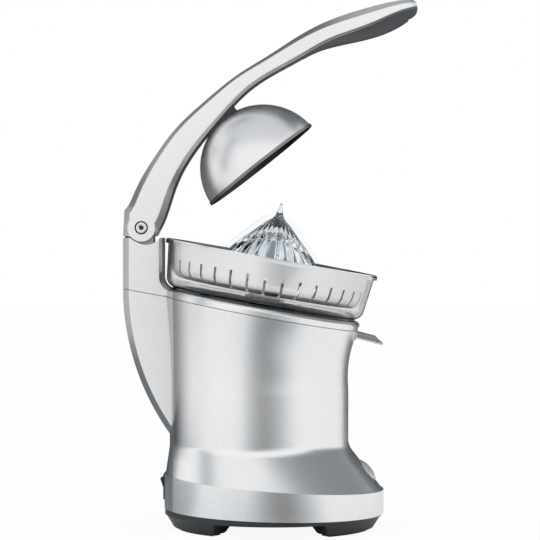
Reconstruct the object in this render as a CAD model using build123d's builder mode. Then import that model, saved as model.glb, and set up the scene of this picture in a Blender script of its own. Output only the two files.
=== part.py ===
from build123d import *
import os
from math import acos, atan2, cos, degrees, pi, radians, sin, sqrt, tan

os.makedirs("parts", exist_ok=True)

# An electric lever citrus press, in millimetres, arm raised.
# +X is the front with the spout, +Z is up, and the origin is the middle of the base on the table.

# Allowances shared by the whole press
overrun = 2.0  # how far a cut runs past a face
running_gap = 0.3  # between pieces that move past each other
slip_gap = 0.1  # between a shaft and its bush
seam_gap = 0.5  # dark line between the two castings

# Base band and flare
base_radius = 92.4
band_top_height = 39.2
band_top_tilt = 4.2
band_bottom_height = 14.8
band_bottom_tilt = 1.4
band_step = 0.8
shell_wall = 3.0
flare_top_height = 69.0
flare_round = 15.0

# Column and its swell up to the collar
column_radius = 75.3
column_back_shift = 12.6
column_front = column_radius - column_back_shift
column_top_drop = 71.4
swell_drop = 36.4
swell_tilt = 5.0
swell_radius = 76.8

# Tilted press axis and collar
press_tilt = 10.3
tilt = radians(press_tilt)
deck_back_shift = 9.1
deck_height = 187.4
column_top_height = deck_height - column_top_drop
swell_height = deck_height - swell_drop
collar_radius = 83.0
collar_height = 7.0
collar_round = 3.2
deck_rim = 3.5

# Juice collector
bowl_rim_height = 40.3
bowl_rim_radius = 90.4
bowl_rim_depth = 3.0
bowl_rim_lip = 2.4
bowl_top_radius = bowl_rim_radius - bowl_rim_lip
bowl_foot_gap = 1.9
bowl_foot_radius = collar_radius - deck_rim - bowl_foot_gap
bowl_foot_inset = 5.8
bowl_bottom_radius = bowl_foot_radius + bowl_foot_inset
bowl_floor_height = 1.4
bowl_wall = 2.2
bowl_corner_round = 9.0
bowl_foot_wall = 2.0
chimney_radius = 17.0
chimney_height = 24.0
nozzle_length = 10.0
nozzle_width = 18.0
nozzle_wall = 1.6
nozzle_reach = 73.5
nozzle_drop = 9.0

# Spine and hinge tower
tower_width = 40.0
tower_bowl_gap = 2.36
tower_bowl_back = bowl_rim_radius * cos(tilt) - bowl_rim_height * sin(tilt)
tower_front = deck_back_shift + tower_bowl_back + tower_bowl_gap
tower_depth = 33.4
tower_back = tower_front + tower_depth
spine_bend_rise = 14.2
spine_bend_height = deck_height + spine_bend_rise
spine_radius = 210.0
spine_foot_drop = 109.4
spine_foot_height = deck_height - spine_foot_drop
spine_root = 25.3
spine_bevel = 5.5
bevel_spread_share = 1.5
spine_edge_round = 1.6
tower_front_bevel = 2.5
tower_foot_round = 10.0
tower_wall = 4.0
tower_solid_top = 30.0

# Arm hinge
hinge_setback = 17.3
hinge_back = tower_front + hinge_setback
hinge_rise = 64.9
hinge_height = deck_height + hinge_rise
tower_top_drop = 8.4
tower_top_height = hinge_height - tower_top_drop
knuckle_radius = 11.6
knuckle_gap = 1.0
cradle_shift = 4.0
cradle_radius = 14.3
arm_seat_gap = 1.2
pin_radius = 4.0
pin_head_radius = 5.4
pin_head_height = 2.0
pin_socket_width = 4.2
hinge_bush_wall = 1.8
hinge_spring_wire = 0.8
hinge_spring_turns = 4
tongue_width = 21.0
tongue_slot_width = 10.6
tongue_radius = 9.5
tongue_depth = 24.0
bumper_length = 4.0
bumper_setback = 1.6
bumper_width = 24.0
bumper_seat = 2.0
arm_swing = 40.0

# Press arm and its paddle
arm_reach = 228.6
arm_rise = 187.6
arm_depth = 34.0
arm_bevel = 5.5
arm_edge_round = 1.6
nose_radius = 7.4
nose_reach_share = 0.9777
nose_rise_share = 0.9765
grip_depth = 9.0
grip_width = 40.0

# Press dome
dome_radius = 53.5
dome_crown = 51.0
dome_wall = 1.2
dome_rim_height = 2.6
dome_tilt = 38.3
dome_reach_share = 0.4379
dome_reach = dome_reach_share * arm_reach
dome_rise_share = 0.27905
dome_rise = dome_rise_share * arm_rise
plinth_length = 31.0
plinth_width = 30.0
plinth_height = 12.0
plinth_shift = 2.9
dome_flat = 0.6
dome_bead = 0.6
stud_radius = 4.0
stud_length = 13.0

# Strainer basket
strainer_sheet = 0.8
strainer_gap = 0.6
strainer_floor_height = 10.5
strainer_corner_round = 11.0
strainer_slots = 36
strainer_slot_width = 2.1
strainer_slot_top = 26.0
strainer_slot_run = 15.4
strainer_slot_inner_radius = bowl_bottom_radius - strainer_slot_run
floor_slots = 24
floor_slot_inner_radius = 30.0
floor_slot_outer_radius = 58.0
strainer_hub_radius = 18.0
strainer_hub_height = 18.0

# Reaming cone
cone_tip_height = 86.7
cone_height = 70.0
cone_radius = 44.0
cone_wall = 2.6
cone_ribs = 24
cone_rib_width = 2.0
cone_rib_height = 1.1
cone_fins = 4
cone_fin_width = 2.2
cone_fin_radius = 46.0
cone_hub_radius = 9.0

# Drive spindle, its boss and return spring
boss_radius = 13.4
boss_height = 22.0
spindle_radius = 5.0
spindle_flat = 4.0
spindle_top_height = 56.0
spindle_bottom_height = -40.0
spindle_shoulder_radius = 7.5
spindle_shoulder_height = 27.5
spindle_shoulder_depth = 2.5
spindle_collar_radius = 8.4
spindle_collar_depth = 2.4
spindle_travel = 2.5
spindle_bush_length = 4.0
spindle_bush_top = 18.0
seal_depth = 3.0
spring_radius = 6.8
spring_wire = 0.5
spring_turns = 6
boss_bore_radius = 9.2

# Gear train
gear_module = 1.0
pressure_angle = 25.0
addendum_share = 0.8
dedendum_share = 1.05
tooth_backlash = 0.3
output_teeth = 60
idler_pinion_teeth = 15
idler_wheel_teeth = 48
motor_pinion_teeth = 12
motor_offset = 40.0
output_gear_top = -12.0
output_gear_width = 8.0
gear_hub_radius = 8.0
gear_bush_wall = 1.6
gear_bush_length = 4.0
wheel_top = -23.0
wheel_width = 6.0
mesh_overlap = 1.0
idler_axle_radius = 2.5
idler_hub_radius = 5.0
idler_axle_seat = 6.0
gear_plate_height = -33.0
gear_plate_thickness = 3.0
gear_plate_radius = 40.0
gear_plate_span = 33.0
post_radius = 3.5
post_reach = 36.0
post_angle_back = 150.0
post_angle_front = 35.0

# Motor
motor_radius = 26.0
motor_length = 50.0
motor_can_wall = 1.6
stator_length = 26.0
stator_drop = 13.0
motor_face = 2.0
motor_cap_boss = 8.0
motor_screw_reach = 12.0
motor_screw_length = 6.0
motor_screw_angles = (-30.0, 90.0, 210.0)
air_gap = 0.5
rotor_radius = 15.0
winding_height = 7.0
winding_wall = 5.0
motor_shaft_radius = 3.0
motor_bush_wall = 2.0
motor_bush_length = 5.0

# Start switch under the spindle
switch_length = 20.0
switch_width = 10.0
switch_height = 12.0
plunger_radius = 1.6
plunger_length = 9.7
plunger_stand = 4.7
switch_shift = 4.0
bracket_thickness = 2.0
bracket_foot = 12.0

# Spout
spout_proud = 3.3
spout_reach = column_front + spout_proud
spout_drop = 25.3
spout_height = deck_height - spout_drop
spout_slope = 14.5
spout_width = 26.0
spout_wall = 1.2
spout_front = 26.6
spout_back = 12.0
spout_depth = 5.6
spout_lip = 7.5
spout_pivot_depth = 1.8
spout_floor_round = 3.0
spout_back_drop = 2.6
spout_pin_radius = 1.5
spout_ear_length = 7.0
spout_ear_width = 4.0
spout_slot_drop = 6.0
spout_slot_rise = 7.0

# Rear rocker switch
rocker_height = 34.0
rocker_setback = 1.9
rocker_radius = 8.75
rocker_face = 3.9
rocker_dish = 1.0
rocker_inside = 4.0
rocker_rest_angle = 12.5
rocker_width = 11.0
rocker_pin_radius = 1.2
switch_frame_rim = 1.6
switch_frame_proud = 0.8
switch_frame_depth = 14.0

# Front button
button_reach_share = 0.5707
button_reach = column_front + button_reach_share * (base_radius - column_front)
button_height = 48.9
button_slope = 50.6
button_length = 20.5
button_width = 24.0
button_proud = 2.2
button_crown = 23.0
button_depth = 6.0
button_gap = 0.7
button_travel = 1.5
button_nub_radius = 1.5
button_well_wall = 1.4
button_well_depth = 15.0
button_spring_radius = 5.0
button_spring_wire = 0.4
button_spring_turns = 5
button_switch_size = 6.0
button_switch_height = 3.5

# Base plate, foot pods and fasteners
plate_underside = 10.5
plate_edge_inset = 1.6
pod_inset = 2.2
pod_outer_radius = base_radius - pod_inset
pod_depth = 28.2
pod_inner_radius = pod_outer_radius - pod_depth
pod_half_angle = 25.0
pod_front_angle = 36.0
pod_back_angle = 146.0
pod_taper = 30.0
pod_round = 3.0
sole_thickness = 1.2
sole_inset = 3.4
screw_radius = 2.0
screw_head_radius = 3.6
screw_head_height = 2.2
screw_length = 14.0
screw_socket_width = 2.5
base_screw_inset = 7.9
base_screw_reach = base_radius - base_screw_inset
base_screw_front_angle = 66.0
base_screw_back_angle = 116.0
base_boss_radius = 6.0
base_boss_height = 22.0
deck_screw_inset = 6.8
deck_screw_reach = swell_radius - deck_screw_inset
deck_screw_front_angle = 50.0
deck_screw_back_angle = 130.0
deck_pillar_radius = 6.0
deck_pillar_height = 30.0
gland_inset = 34.4
gland_reach = base_radius - gland_inset
gland_bore = 3.2
gland_wall = 2.0
gland_flange = 2.0
vent_count = 7
vent_length = 40.0
vent_width = 3.0
vent_pitch = 8.0

# Work planes and axes that several pieces share
press_up = (sin(tilt), 0, cos(tilt))
press_ahead = (cos(tilt), 0, -sin(tilt))
deck_middle = (-deck_back_shift, 0, deck_height)
deck = Plane(origin=deck_middle, x_dir=press_ahead, z_dir=press_up)
press_side = Plane(origin=deck_middle, x_dir=press_ahead, z_dir=(0, -1, 0))
press_axis = Axis(deck_middle, press_up)
hinge_side = Plane(origin=(-hinge_back, 0, hinge_height), x_dir=(1, 0, 0), z_dir=(0, -1, 0))
seam = deck.offset(-collar_height)
band_top = Plane.XY.offset(band_top_height).rotated((0, band_top_tilt, 0))
band_bottom = Plane.XY.offset(band_bottom_height).rotated((0, band_bottom_tilt, 0))
half_tower = tower_width / 2


def disc(plane, radius, height, mode=Mode.ADD):
    """A round plug that rises from a plane."""
    with BuildSketch(plane) as face:
        Circle(radius)
    extrude(face.sketch, amount=height, mode=mode)


def ring(plane, outer, inner, height):
    """A round sleeve that rises from a plane."""
    with BuildSketch(plane) as face:
        Circle(outer)
        Circle(inner, mode=Mode.SUBTRACT)
    extrude(face.sketch, amount=height)


def turned(points, plane, axis, mode=Mode.ADD):
    """A closed outline of (radius, height) points turned about an axis."""
    with BuildSketch(plane) as face:
        with BuildLine():
            Polyline(*points, close=True)
        make_face()
    revolve(face.sketch, axis=axis, mode=mode)


def screw_set(places, length=screw_length):
    """Socket head screws whose heads sit on the given planes and whose shanks point down."""
    for place in places:
        disc(place, screw_head_radius, screw_head_height)
        disc(place, screw_radius, -length)
        with BuildSketch(place.offset(screw_head_height)) as socket:
            RegularPolygon(screw_socket_width / 2, 6, major_radius=False)
        extrude(socket.sketch, amount=-screw_head_height / 2, mode=Mode.SUBTRACT)


def coil(plane, radius, wire, turns, length):
    """A spring wound round a plane's axis: one round wire swept along quarter turns."""
    quarters = 4 * turns

    def on_coil(quarter):
        angle = quarter * pi / 2
        return plane.from_local_coords(
            (radius * cos(angle), radius * sin(angle), length * quarter / quarters)
        )

    with BuildLine() as path:
        for quarter in range(quarters):
            ThreePointArc(on_coil(quarter), on_coil(quarter + 1 / 2), on_coil(quarter + 1))
    with BuildSketch(Plane(origin=path.line @ 0, z_dir=path.line % 0)) as section:
        Circle(wire)
    sweep(section.sketch, path=path.line)


def toothed_face(plane, teeth, phase):
    """An involute gear outline with one tooth centred on the phase angle, in degrees."""
    pitch_radius = gear_module * teeth / 2
    tip_radius = pitch_radius + addendum_share * gear_module
    root_radius = pitch_radius - dedendum_share * gear_module
    rolling_radius = pitch_radius * cos(radians(pressure_angle))
    half_tooth = pi / (2 * teeth) - tooth_backlash / (4 * pitch_radius)

    def roll(radius):
        angle = acos(min(1, rolling_radius / radius))
        return tan(angle) - angle

    def half_angle(radius):
        return half_tooth + roll(pitch_radius) - roll(max(radius, rolling_radius))

    def at(radius, angle):
        return (radius * cos(angle), radius * sin(angle))

    flank_start = max(root_radius, rolling_radius)
    flank = [flank_start + (tip_radius - flank_start) * step / 3 for step in range(4)]
    tooth_angle = 2 * pi / teeth
    with BuildSketch(plane) as face:
        with BuildLine():
            for tooth in range(teeth):
                middle = radians(phase) + tooth * tooth_angle
                root_half = half_angle(root_radius)
                rising = [at(radius, middle - half_angle(radius)) for radius in flank]
                falling = [at(radius, middle + half_angle(radius)) for radius in reversed(flank)]
                foot_before = at(root_radius, middle - root_half)
                foot_after = at(root_radius, middle + root_half)
                if root_radius < flank_start:
                    Line(foot_before, rising[0])
                    Line(falling[-1], foot_after)
                Spline(*rising)
                ThreePointArc(rising[-1], at(tip_radius, middle), falling[0])
                Spline(*falling)
                next_foot = at(root_radius, middle + tooth_angle - root_half)
                ThreePointArc(foot_after, at(root_radius, middle + tooth_angle / 2), next_foot)
        make_face()
    return face.sketch


# Spine: the outline of the tower and of the back of the body, seen from the side
def deck_line(reach):
    """Height of the collar's top plane at a place along X."""
    return deck_height - (reach + deck_back_shift) * tan(tilt)


def spine_outline(inset, top, front):
    """Side outline of the spine, drawn in by an inset on its back and front."""
    back = -tower_back + inset
    bend = spine_radius - inset
    foot_drop = spine_bend_height - spine_foot_height
    foot = back + bend - sqrt(bend**2 - foot_drop**2)
    inner = spine_root - tower_front
    cover = collar_height / cos(tilt) if inset else 0
    with BuildSketch(Plane.XZ) as outline:
        with BuildLine():
            Polyline(
                (back, spine_bend_height),
                (back, top),
                (front, top),
                (front, deck_line(front) - cover),
                (inner, deck_line(inner) - cover),
                (inner, spine_foot_height),
                (foot, spine_foot_height),
            )
            TangentArc((back, spine_bend_height), (foot, spine_foot_height), tangent=(0, -1))
        make_face()
        if inset == 0:
            corner = outline.vertices().sort_by_distance((front, deck_line(front)))[0]
            fillet(corner, tower_foot_round)
    return outline.sketch


with BuildPart() as spine:
    extrude(spine_outline(0, tower_top_height, -tower_front), amount=half_tower, both=True)
    for side in (0, -1):
        side_face = spine.faces().sort_by(Axis.Y)[side]
        back_line = side_face.edges().filter_by(Axis.Z).group_by(Axis.X)[0]
        back_arc = side_face.edges().filter_by(GeomType.CIRCLE).group_by(SortBy.RADIUS)[-1]
        spread = bevel_spread_share * spine_bevel
        chamfer(back_line + back_arc, spine_bevel, spread, reference=side_face)
    front_face = spine.faces().filter_by(Axis.X).sort_by(Axis.X).filter_by(
        lambda face: face.center().Z > spine_bend_height
    )[-1]
    chamfer(front_face.edges().filter_by(Axis.Z), tower_front_bevel)
    behind = spine.edges().filter_by(lambda edge: edge.center().X < -tower_front)
    upright_edges = behind.filter_by(Axis.Z) + behind.filter_by(GeomType.CIRCLE)
    fillet(upright_edges.filter_by(lambda edge: edge.length > tower_top_drop), spine_edge_round)

with BuildPart() as spine_hollow:
    hollow_top = tower_top_height - tower_solid_top
    extrude(
        spine_outline(tower_wall, hollow_top, -tower_front - tower_wall),
        amount=half_tower - tower_wall,
        both=True,
    )


# Body shell: base band, flare, column and swell in one casting
def body_form(inset):
    """The round outside of the body, or its hollow when drawn in by the wall."""
    with BuildSketch(Plane.XY) as band:
        Circle(base_radius - inset)
    extrude(band.sketch, amount=base_radius)
    split(bisect_by=band_top.offset(-inset), keep=Keep.BOTTOM)
    with BuildSketch(band_top.offset(-inset)) as flare_bottom:
        Circle(base_radius - band_step - inset)
    with BuildSketch(Plane(origin=(-column_back_shift, 0, flare_top_height))) as flare_top:
        Circle(column_radius - inset)
    loft([flare_bottom.sketch, flare_top.sketch])
    extrude(flare_top.sketch, amount=column_top_height - flare_top_height)
    with BuildSketch(Plane(origin=(-column_back_shift, 0, column_top_height))) as column_top:
        Circle(column_radius - inset)
    swell_middle = Plane(origin=(-column_back_shift, 0, swell_height)).rotated((0, swell_tilt, 0))
    with BuildSketch(swell_middle) as swell:
        Circle(swell_radius - inset)
    with BuildSketch(seam) as swell_top:
        Circle(collar_radius - inset)
    loft([column_top.sketch, swell.sketch, swell_top.sketch])


with BuildPart() as body_hollow:
    body_form(shell_wall)


deck_screw_angles = (
    deck_screw_front_angle,
    deck_screw_back_angle,
    -deck_screw_front_angle,
    -deck_screw_back_angle,
)
base_screw_angles = (
    base_screw_front_angle,
    base_screw_back_angle,
    -base_screw_front_angle,
    -base_screw_back_angle,
)


def polar(plane, reach, angle):
    """A plane parallel to another, moved out by a reach at an angle."""
    turn = radians(angle)
    origin = plane.from_local_coords((reach * cos(turn), reach * sin(turn), 0))
    return Plane(origin=origin, x_dir=plane.x_dir, z_dir=plane.z_dir)


spout_pivot = Plane(
    origin=(spout_reach, 0, spout_height),
    x_dir=(cos(radians(spout_slope)), 0, -sin(radians(spout_slope))),
    z_dir=(0, -1, 0),
)
rocker_middle = Plane(
    origin=(rocker_setback - base_radius, 0, rocker_height), x_dir=(1, 0, 0), z_dir=(0, -1, 0)
)
frame_half_height = rocker_radius + running_gap
frame_half_width = rocker_width / 2 + running_gap
button_out = (sin(radians(button_slope)), 0, cos(radians(button_slope)))
button_down = (cos(radians(button_slope)), 0, -sin(radians(button_slope)))
button_face = Plane(
    origin=(button_reach, 0, button_height), x_dir=button_down, z_dir=button_out
)
well_inner_length = button_length + 2 * button_gap
well_inner_width = button_width + 2 * button_gap
spout_slot_half = spout_width / 2 + running_gap
spout_slot_height = spout_slot_drop + spout_slot_rise
base_bore_top = plate_underside + screw_head_height + screw_length + running_gap

with BuildPart() as body_shell:
    body_form(0)
    round_edges = body_shell.edges().filter_by(GeomType.CIRCLE).filter_by(Plane.XY)
    flare_edge = round_edges.sort_by(lambda edge: abs(edge.center().Z - flare_top_height))[0]
    fillet(flare_edge, flare_round)
    add(spine.part)
    split(bisect_by=seam.offset(-seam_gap), keep=Keep.BOTTOM)
    add(body_hollow.part, mode=Mode.SUBTRACT)
    add(spine_hollow.part, mode=Mode.SUBTRACT)
    split(bisect_by=band_bottom, keep=Keep.TOP)
    for angle in deck_screw_angles:
        disc(polar(seam, deck_screw_reach, angle), deck_pillar_radius, -deck_pillar_height)
    for angle in base_screw_angles:
        disc(polar(band_bottom, base_screw_reach, angle), base_boss_radius, base_boss_height)
    for side in (1, -1):
        ear_middle = side * (spout_slot_half + spout_ear_width / 2)
        with BuildSketch(spout_pivot.offset(-ear_middle)) as ear:
            Rectangle(spout_ear_length, spout_ear_length)
        extrude(ear.sketch, amount=spout_ear_width / 2, both=True)
    # windows for the spout, the rear switch and the front button
    with BuildSketch(Plane.XZ) as spout_window:
        with Locations((spout_reach, spout_height + (spout_slot_rise - spout_slot_drop) / 2)):
            Rectangle(2 * spout_front, spout_slot_height)
    extrude(spout_window.sketch, amount=spout_slot_half, both=True, mode=Mode.SUBTRACT)
    with BuildSketch(spout_pivot) as ear_bore:
        Circle(spout_pin_radius)
    extrude(ear_bore.sketch, amount=spout_slot_half + spout_ear_width, both=True, mode=Mode.SUBTRACT)
    with BuildSketch(Plane.YZ.offset(-base_radius - overrun)) as switch_window:
        with Locations((0, rocker_height)):
            Rectangle(
                2 * (frame_half_width + switch_frame_rim),
                2 * (frame_half_height + switch_frame_rim),
            )
    extrude(switch_window.sketch, amount=switch_frame_depth, mode=Mode.SUBTRACT)
    with BuildSketch(button_face.offset(button_depth)) as button_window:
        Ellipse(well_inner_length / 2, well_inner_width / 2)
    extrude(button_window.sketch, amount=-2 * button_well_depth, mode=Mode.SUBTRACT)
    for angle in deck_screw_angles:
        disc(polar(seam, deck_screw_reach, angle), screw_radius, -screw_length - overrun, Mode.SUBTRACT)
    for angle in base_screw_angles:
        disc(polar(Plane.XY, base_screw_reach, angle), screw_radius, base_bore_top, Mode.SUBTRACT)
body_shell.part.label = "body_shell"
export_step(body_shell.part, "parts/body_shell.step")


# Upper housing: collar, deck, spindle boss and hinge tower in one casting
deck_floor = deck.offset(-deck_rim)
spindle_bush_bottom = spindle_bush_top - spindle_bush_length
gear_bush_radius = gear_hub_radius + slip_gap + gear_bush_wall
gear_boss_bottom = output_gear_top + running_gap
bore_length = spindle_bush_bottom - gear_boss_bottom
spindle_bush_radius = spindle_radius + slip_gap + gear_bush_wall
post_places = [polar(deck, post_reach, side * post_angle_back) for side in (1, -1)]
front_posts = polar(deck, gear_plate_span, 0)
post_places += [polar(front_posts, post_reach, side * post_angle_front) for side in (1, -1)]
center_distance = gear_module * (output_teeth + idler_pinion_teeth) / 2
motor_distance = gear_module * (idler_wheel_teeth + motor_pinion_teeth) / 2
idler_ahead = (center_distance**2 - motor_distance**2 + motor_offset**2) / (2 * motor_offset)
idler_aside = sqrt(center_distance**2 - idler_ahead**2)
idler = Plane(
    origin=deck.from_local_coords((idler_ahead, idler_aside, 0)), x_dir=press_ahead, z_dir=press_up
)
motor = Plane(
    origin=deck.from_local_coords((motor_offset, 0, 0)), x_dir=press_ahead, z_dir=press_up
)
idler_boss_bottom = output_gear_top + mesh_overlap
nozzle_opening_length = nozzle_length + 2 * running_gap
nozzle_opening_width = nozzle_width + 2 * running_gap

with BuildPart() as upper_housing:
    turned(
        [(0, -collar_height), (collar_radius, -collar_height), (collar_radius, 0), (0, 0)],
        press_side,
        press_axis,
    )
    top_edge = upper_housing.edges().filter_by(GeomType.CIRCLE).sort_by(press_axis)[-1]
    fillet(top_edge, collar_round)
    add(spine.part)
    split(bisect_by=seam, keep=Keep.TOP)
    add(spine_hollow.part, mode=Mode.SUBTRACT)
    disc(deck_floor, collar_radius - deck_rim, deck_rim + bowl_rim_height, Mode.SUBTRACT)
    # cradle for the knuckle, wider in front where the block's corner sweeps, and the tongue's pocket
    with BuildSketch(hinge_side) as cradle:
        Circle(knuckle_radius + knuckle_gap)
        with Locations((cradle_shift, 0)):
            Circle(cradle_radius)
    extrude(cradle.sketch, amount=tower_width, both=True, mode=Mode.SUBTRACT)
    with BuildSketch(hinge_side) as tongue_pocket:
        with Locations((0, tower_top_height - hinge_height - tongue_depth / 2 + overrun)):
            Rectangle(2 * tongue_radius, tongue_depth + 2 * overrun)
    extrude(tongue_pocket.sketch, amount=tongue_width / 2, both=True, mode=Mode.SUBTRACT)
    bumper_middle = -tower_back + bumper_setback + bumper_length / 2
    with BuildSketch(Plane.XY.offset(tower_top_height)) as bumper_pocket:
        with Locations((bumper_middle, 0)):
            Rectangle(bumper_length, bumper_width)
    extrude(bumper_pocket.sketch, amount=-bumper_seat, mode=Mode.SUBTRACT)
    # boss for the spindle, posts for the gear plate and a boss for the idler axle
    disc(deck.offset(gear_boss_bottom), boss_radius, boss_height - gear_boss_bottom)
    for place in post_places:
        disc(place.offset(-deck_rim), post_radius, gear_plate_height + deck_rim)
    disc(idler.offset(-deck_rim), idler_hub_radius, idler_boss_bottom + deck_rim)
    # bores
    disc(deck.offset(gear_boss_bottom), gear_bush_radius, gear_bush_length, Mode.SUBTRACT)
    disc(deck.offset(gear_boss_bottom), boss_bore_radius, bore_length, Mode.SUBTRACT)
    disc(deck.offset(boss_height), spindle_bush_radius, -boss_height, Mode.SUBTRACT)
    disc(idler.offset(idler_boss_bottom), idler_axle_radius, idler_axle_seat, Mode.SUBTRACT)
    for place in post_places:
        disc(place.offset(gear_plate_height), screw_radius, screw_length, Mode.SUBTRACT)
    for angle in deck_screw_angles:
        disc(polar(deck_floor, deck_screw_reach, angle), screw_radius, -collar_height, Mode.SUBTRACT)
    # opening for the collector's nozzle and a notch over the spout
    with BuildSketch(deck) as nozzle_opening:
        with Locations((nozzle_reach, 0)):
            Rectangle(nozzle_opening_length, nozzle_opening_width)
    extrude(nozzle_opening.sketch, amount=-2 * collar_height, mode=Mode.SUBTRACT)
    with BuildSketch(Plane.XZ) as spout_notch:
        with Locations((spout_reach, spout_height + (spout_slot_rise - spout_slot_drop) / 2)):
            Rectangle(2 * spout_back, spout_slot_height)
    extrude(spout_notch.sketch, amount=spout_slot_half, both=True, mode=Mode.SUBTRACT)
upper_housing.part.label = "upper_housing"
export_step(upper_housing.part, "parts/upper_housing.step")


# Base plate: the black underside with four tapered foot pods
def pod_sector(plane, middle_angle, inset):
    """A piece of a flat ring, drawn in all round by an inset."""
    outer = pod_outer_radius - inset
    inner = pod_inner_radius + inset
    half = pod_half_angle - degrees(inset / outer)
    with BuildSketch(plane) as sector:
        with BuildLine():
            outer_arc = CenterArc((0, 0), outer, middle_angle - half, 2 * half)
            inner_arc = CenterArc((0, 0), inner, middle_angle - half, 2 * half)
            Line(outer_arc @ 0, inner_arc @ 0)
            Line(outer_arc @ 1, inner_arc @ 1)
        make_face()
    return sector.sketch


pod_angles = (pod_front_angle, pod_back_angle, -pod_front_angle, -pod_back_angle)
pod_height = plate_underside - sole_thickness
pod_draw = pod_height * tan(radians(pod_taper))
plate_radius = base_radius - seam_gap
base_screw_places = [
    polar(Plane.XY.offset(plate_underside), base_screw_reach, angle) for angle in base_screw_angles
]
gland_place = Plane(origin=(-gland_reach, 0, plate_underside))

with BuildPart() as base_plate:
    with BuildSketch(Plane.XY.offset(plate_underside)) as plate_face:
        Circle(plate_radius)
    extrude(plate_face.sketch, amount=base_radius)
    split(bisect_by=band_bottom, keep=Keep.BOTTOM)
    chamfer(base_plate.edges().sort_by(Axis.Z)[0], plate_edge_inset)
    for angle in pod_angles:
        extrude(pod_sector(Plane.XY.offset(plate_underside), angle, 0), amount=-pod_height, taper=pod_taper)
    fillet(base_plate.faces().group_by(Axis.Z)[0].edges(), pod_round)
    for place in base_screw_places:
        disc(place, screw_radius, base_radius, Mode.SUBTRACT)
        disc(place, screw_head_radius + running_gap, screw_head_height, Mode.SUBTRACT)
    disc(gland_place, gland_bore + gland_wall, base_radius, Mode.SUBTRACT)
    with BuildSketch(Plane.XY.offset(plate_underside)) as vents:
        with GridLocations(vent_pitch, 0, vent_count, 1):
            SlotOverall(vent_length, vent_width, rotation=90)
    extrude(vents.sketch, amount=base_radius, mode=Mode.SUBTRACT)
base_plate.part.label = "base_plate"
export_step(base_plate.part, "parts/base_plate.step")

with BuildPart() as rubber_feet:
    for angle in pod_angles:
        extrude(pod_sector(Plane.XY, angle, pod_draw + sole_inset), amount=sole_thickness)
rubber_feet.part.label = "rubber_feet"
export_step(rubber_feet.part, "parts/rubber_feet.step")

with BuildPart() as base_screws:
    screw_set([-place.offset(screw_head_height) for place in base_screw_places])
base_screws.part.label = "base_screws"
export_step(base_screws.part, "parts/base_screws.step")

with BuildPart() as cord_gland:
    ring(gland_place.offset(-gland_flange), gland_bore + 2 * gland_wall, gland_bore, gland_flange)
    ring(gland_place, gland_bore + gland_wall, gland_bore, band_bottom_height - plate_underside)
cord_gland.part.label = "cord_gland"
export_step(cord_gland.part, "parts/cord_gland.step")

with BuildPart() as deck_screws:
    screw_set([polar(deck_floor, deck_screw_reach, angle) for angle in deck_screw_angles])
deck_screws.part.label = "deck_screws"
export_step(deck_screws.part, "parts/deck_screws.step")

# Arm hinge: tongue in the tower, bushes, stop bumper
arm_seat_height = tower_top_height + arm_seat_gap
lug_width = (tongue_width - tongue_slot_width) / 2
lug_middle = (tongue_width + tongue_slot_width) / 4
hinge_bush_radius = pin_radius + slip_gap + hinge_bush_wall
tongue_bottom = tower_top_height - hinge_height - tongue_depth

with BuildPart() as hinge_tongue:
    with BuildSketch(hinge_side) as tongue_outline:
        Circle(tongue_radius)
        with Locations((0, tongue_bottom / 2)):
            Rectangle(2 * tongue_radius, -tongue_bottom)
    extrude(tongue_outline.sketch, amount=tongue_width / 2, both=True)
    with BuildSketch(hinge_side) as spring_slot:
        Circle(tongue_radius + overrun)
    extrude(spring_slot.sketch, amount=tongue_slot_width / 2, both=True, mode=Mode.SUBTRACT)
    with BuildSketch(hinge_side) as bush_bore:
        Circle(hinge_bush_radius)
    extrude(bush_bore.sketch, amount=tongue_width, both=True, mode=Mode.SUBTRACT)
hinge_tongue.part.label = "hinge_tongue"
export_step(hinge_tongue.part, "parts/hinge_tongue.step")

with BuildPart() as hinge_bushes:
    for side in (1, -1):
        ring(
            hinge_side.offset(side * lug_middle - lug_width / 2),
            hinge_bush_radius,
            pin_radius + slip_gap,
            lug_width,
        )
hinge_bushes.part.label = "hinge_bushes"
export_step(hinge_bushes.part, "parts/hinge_bushes.step")

with BuildPart() as stop_bumper:
    with BuildSketch(Plane.XY.offset(tower_top_height - bumper_seat)) as bumper_face:
        with Locations((bumper_middle, 0)):
            Rectangle(bumper_length, bumper_width)
    extrude(bumper_face.sketch, amount=bumper_seat + arm_seat_gap)
stop_bumper.part.label = "stop_bumper"
export_step(stop_bumper.part, "parts/stop_bumper.step")

# Press arm: a lofted casting that runs from the hinge block to the paddle's tip.
# Each station is a share of the arm's reach and rise from the hinge, then a share of its depth,
# of its width and of its bevel, on the outer side and then on the inner side.
arm_station_shares = (
    (0.001, 0.040, 0.985, 1.00, 1.00, 1.00),
    (0.0315, 0.116, 0.918, 1.00, 0.93, 0.93),
    (0.056, 0.190, 0.855, 1.00, 0.85, 0.85),
    (0.094, 0.278, 0.762, 0.98, 0.70, 0.70),
    (0.155, 0.388, 0.709, 0.95, 0.60, 0.60),
    (0.265, 0.532, 0.574, 0.92, 0.50, 0.50),
    (0.379, 0.656, 0.453, 0.90, 0.45, 0.45),
    (0.471, 0.727, 0.430, 0.92, 0.50, 0.42),
    (0.571, 0.800, 0.480, 1.02, 0.65, 0.38),
    (0.67, 0.867, 0.475, 1.15, 0.85, 0.34),
    (0.754, 0.906, 0.480, 1.23, 0.95, 0.32),
    (0.845, 0.943, 0.435, 1.25, 0.90, 0.32),
    (0.935, 0.979, 0.315, 1.16, 0.65, 0.32),
    (1.006, 0.994, 0.215, 0.90, 0.40, 0.32),
)
arm_stations = [
    (share[0] * arm_reach, share[1] * arm_rise, *share[2:]) for share in arm_station_shares
]


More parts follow.
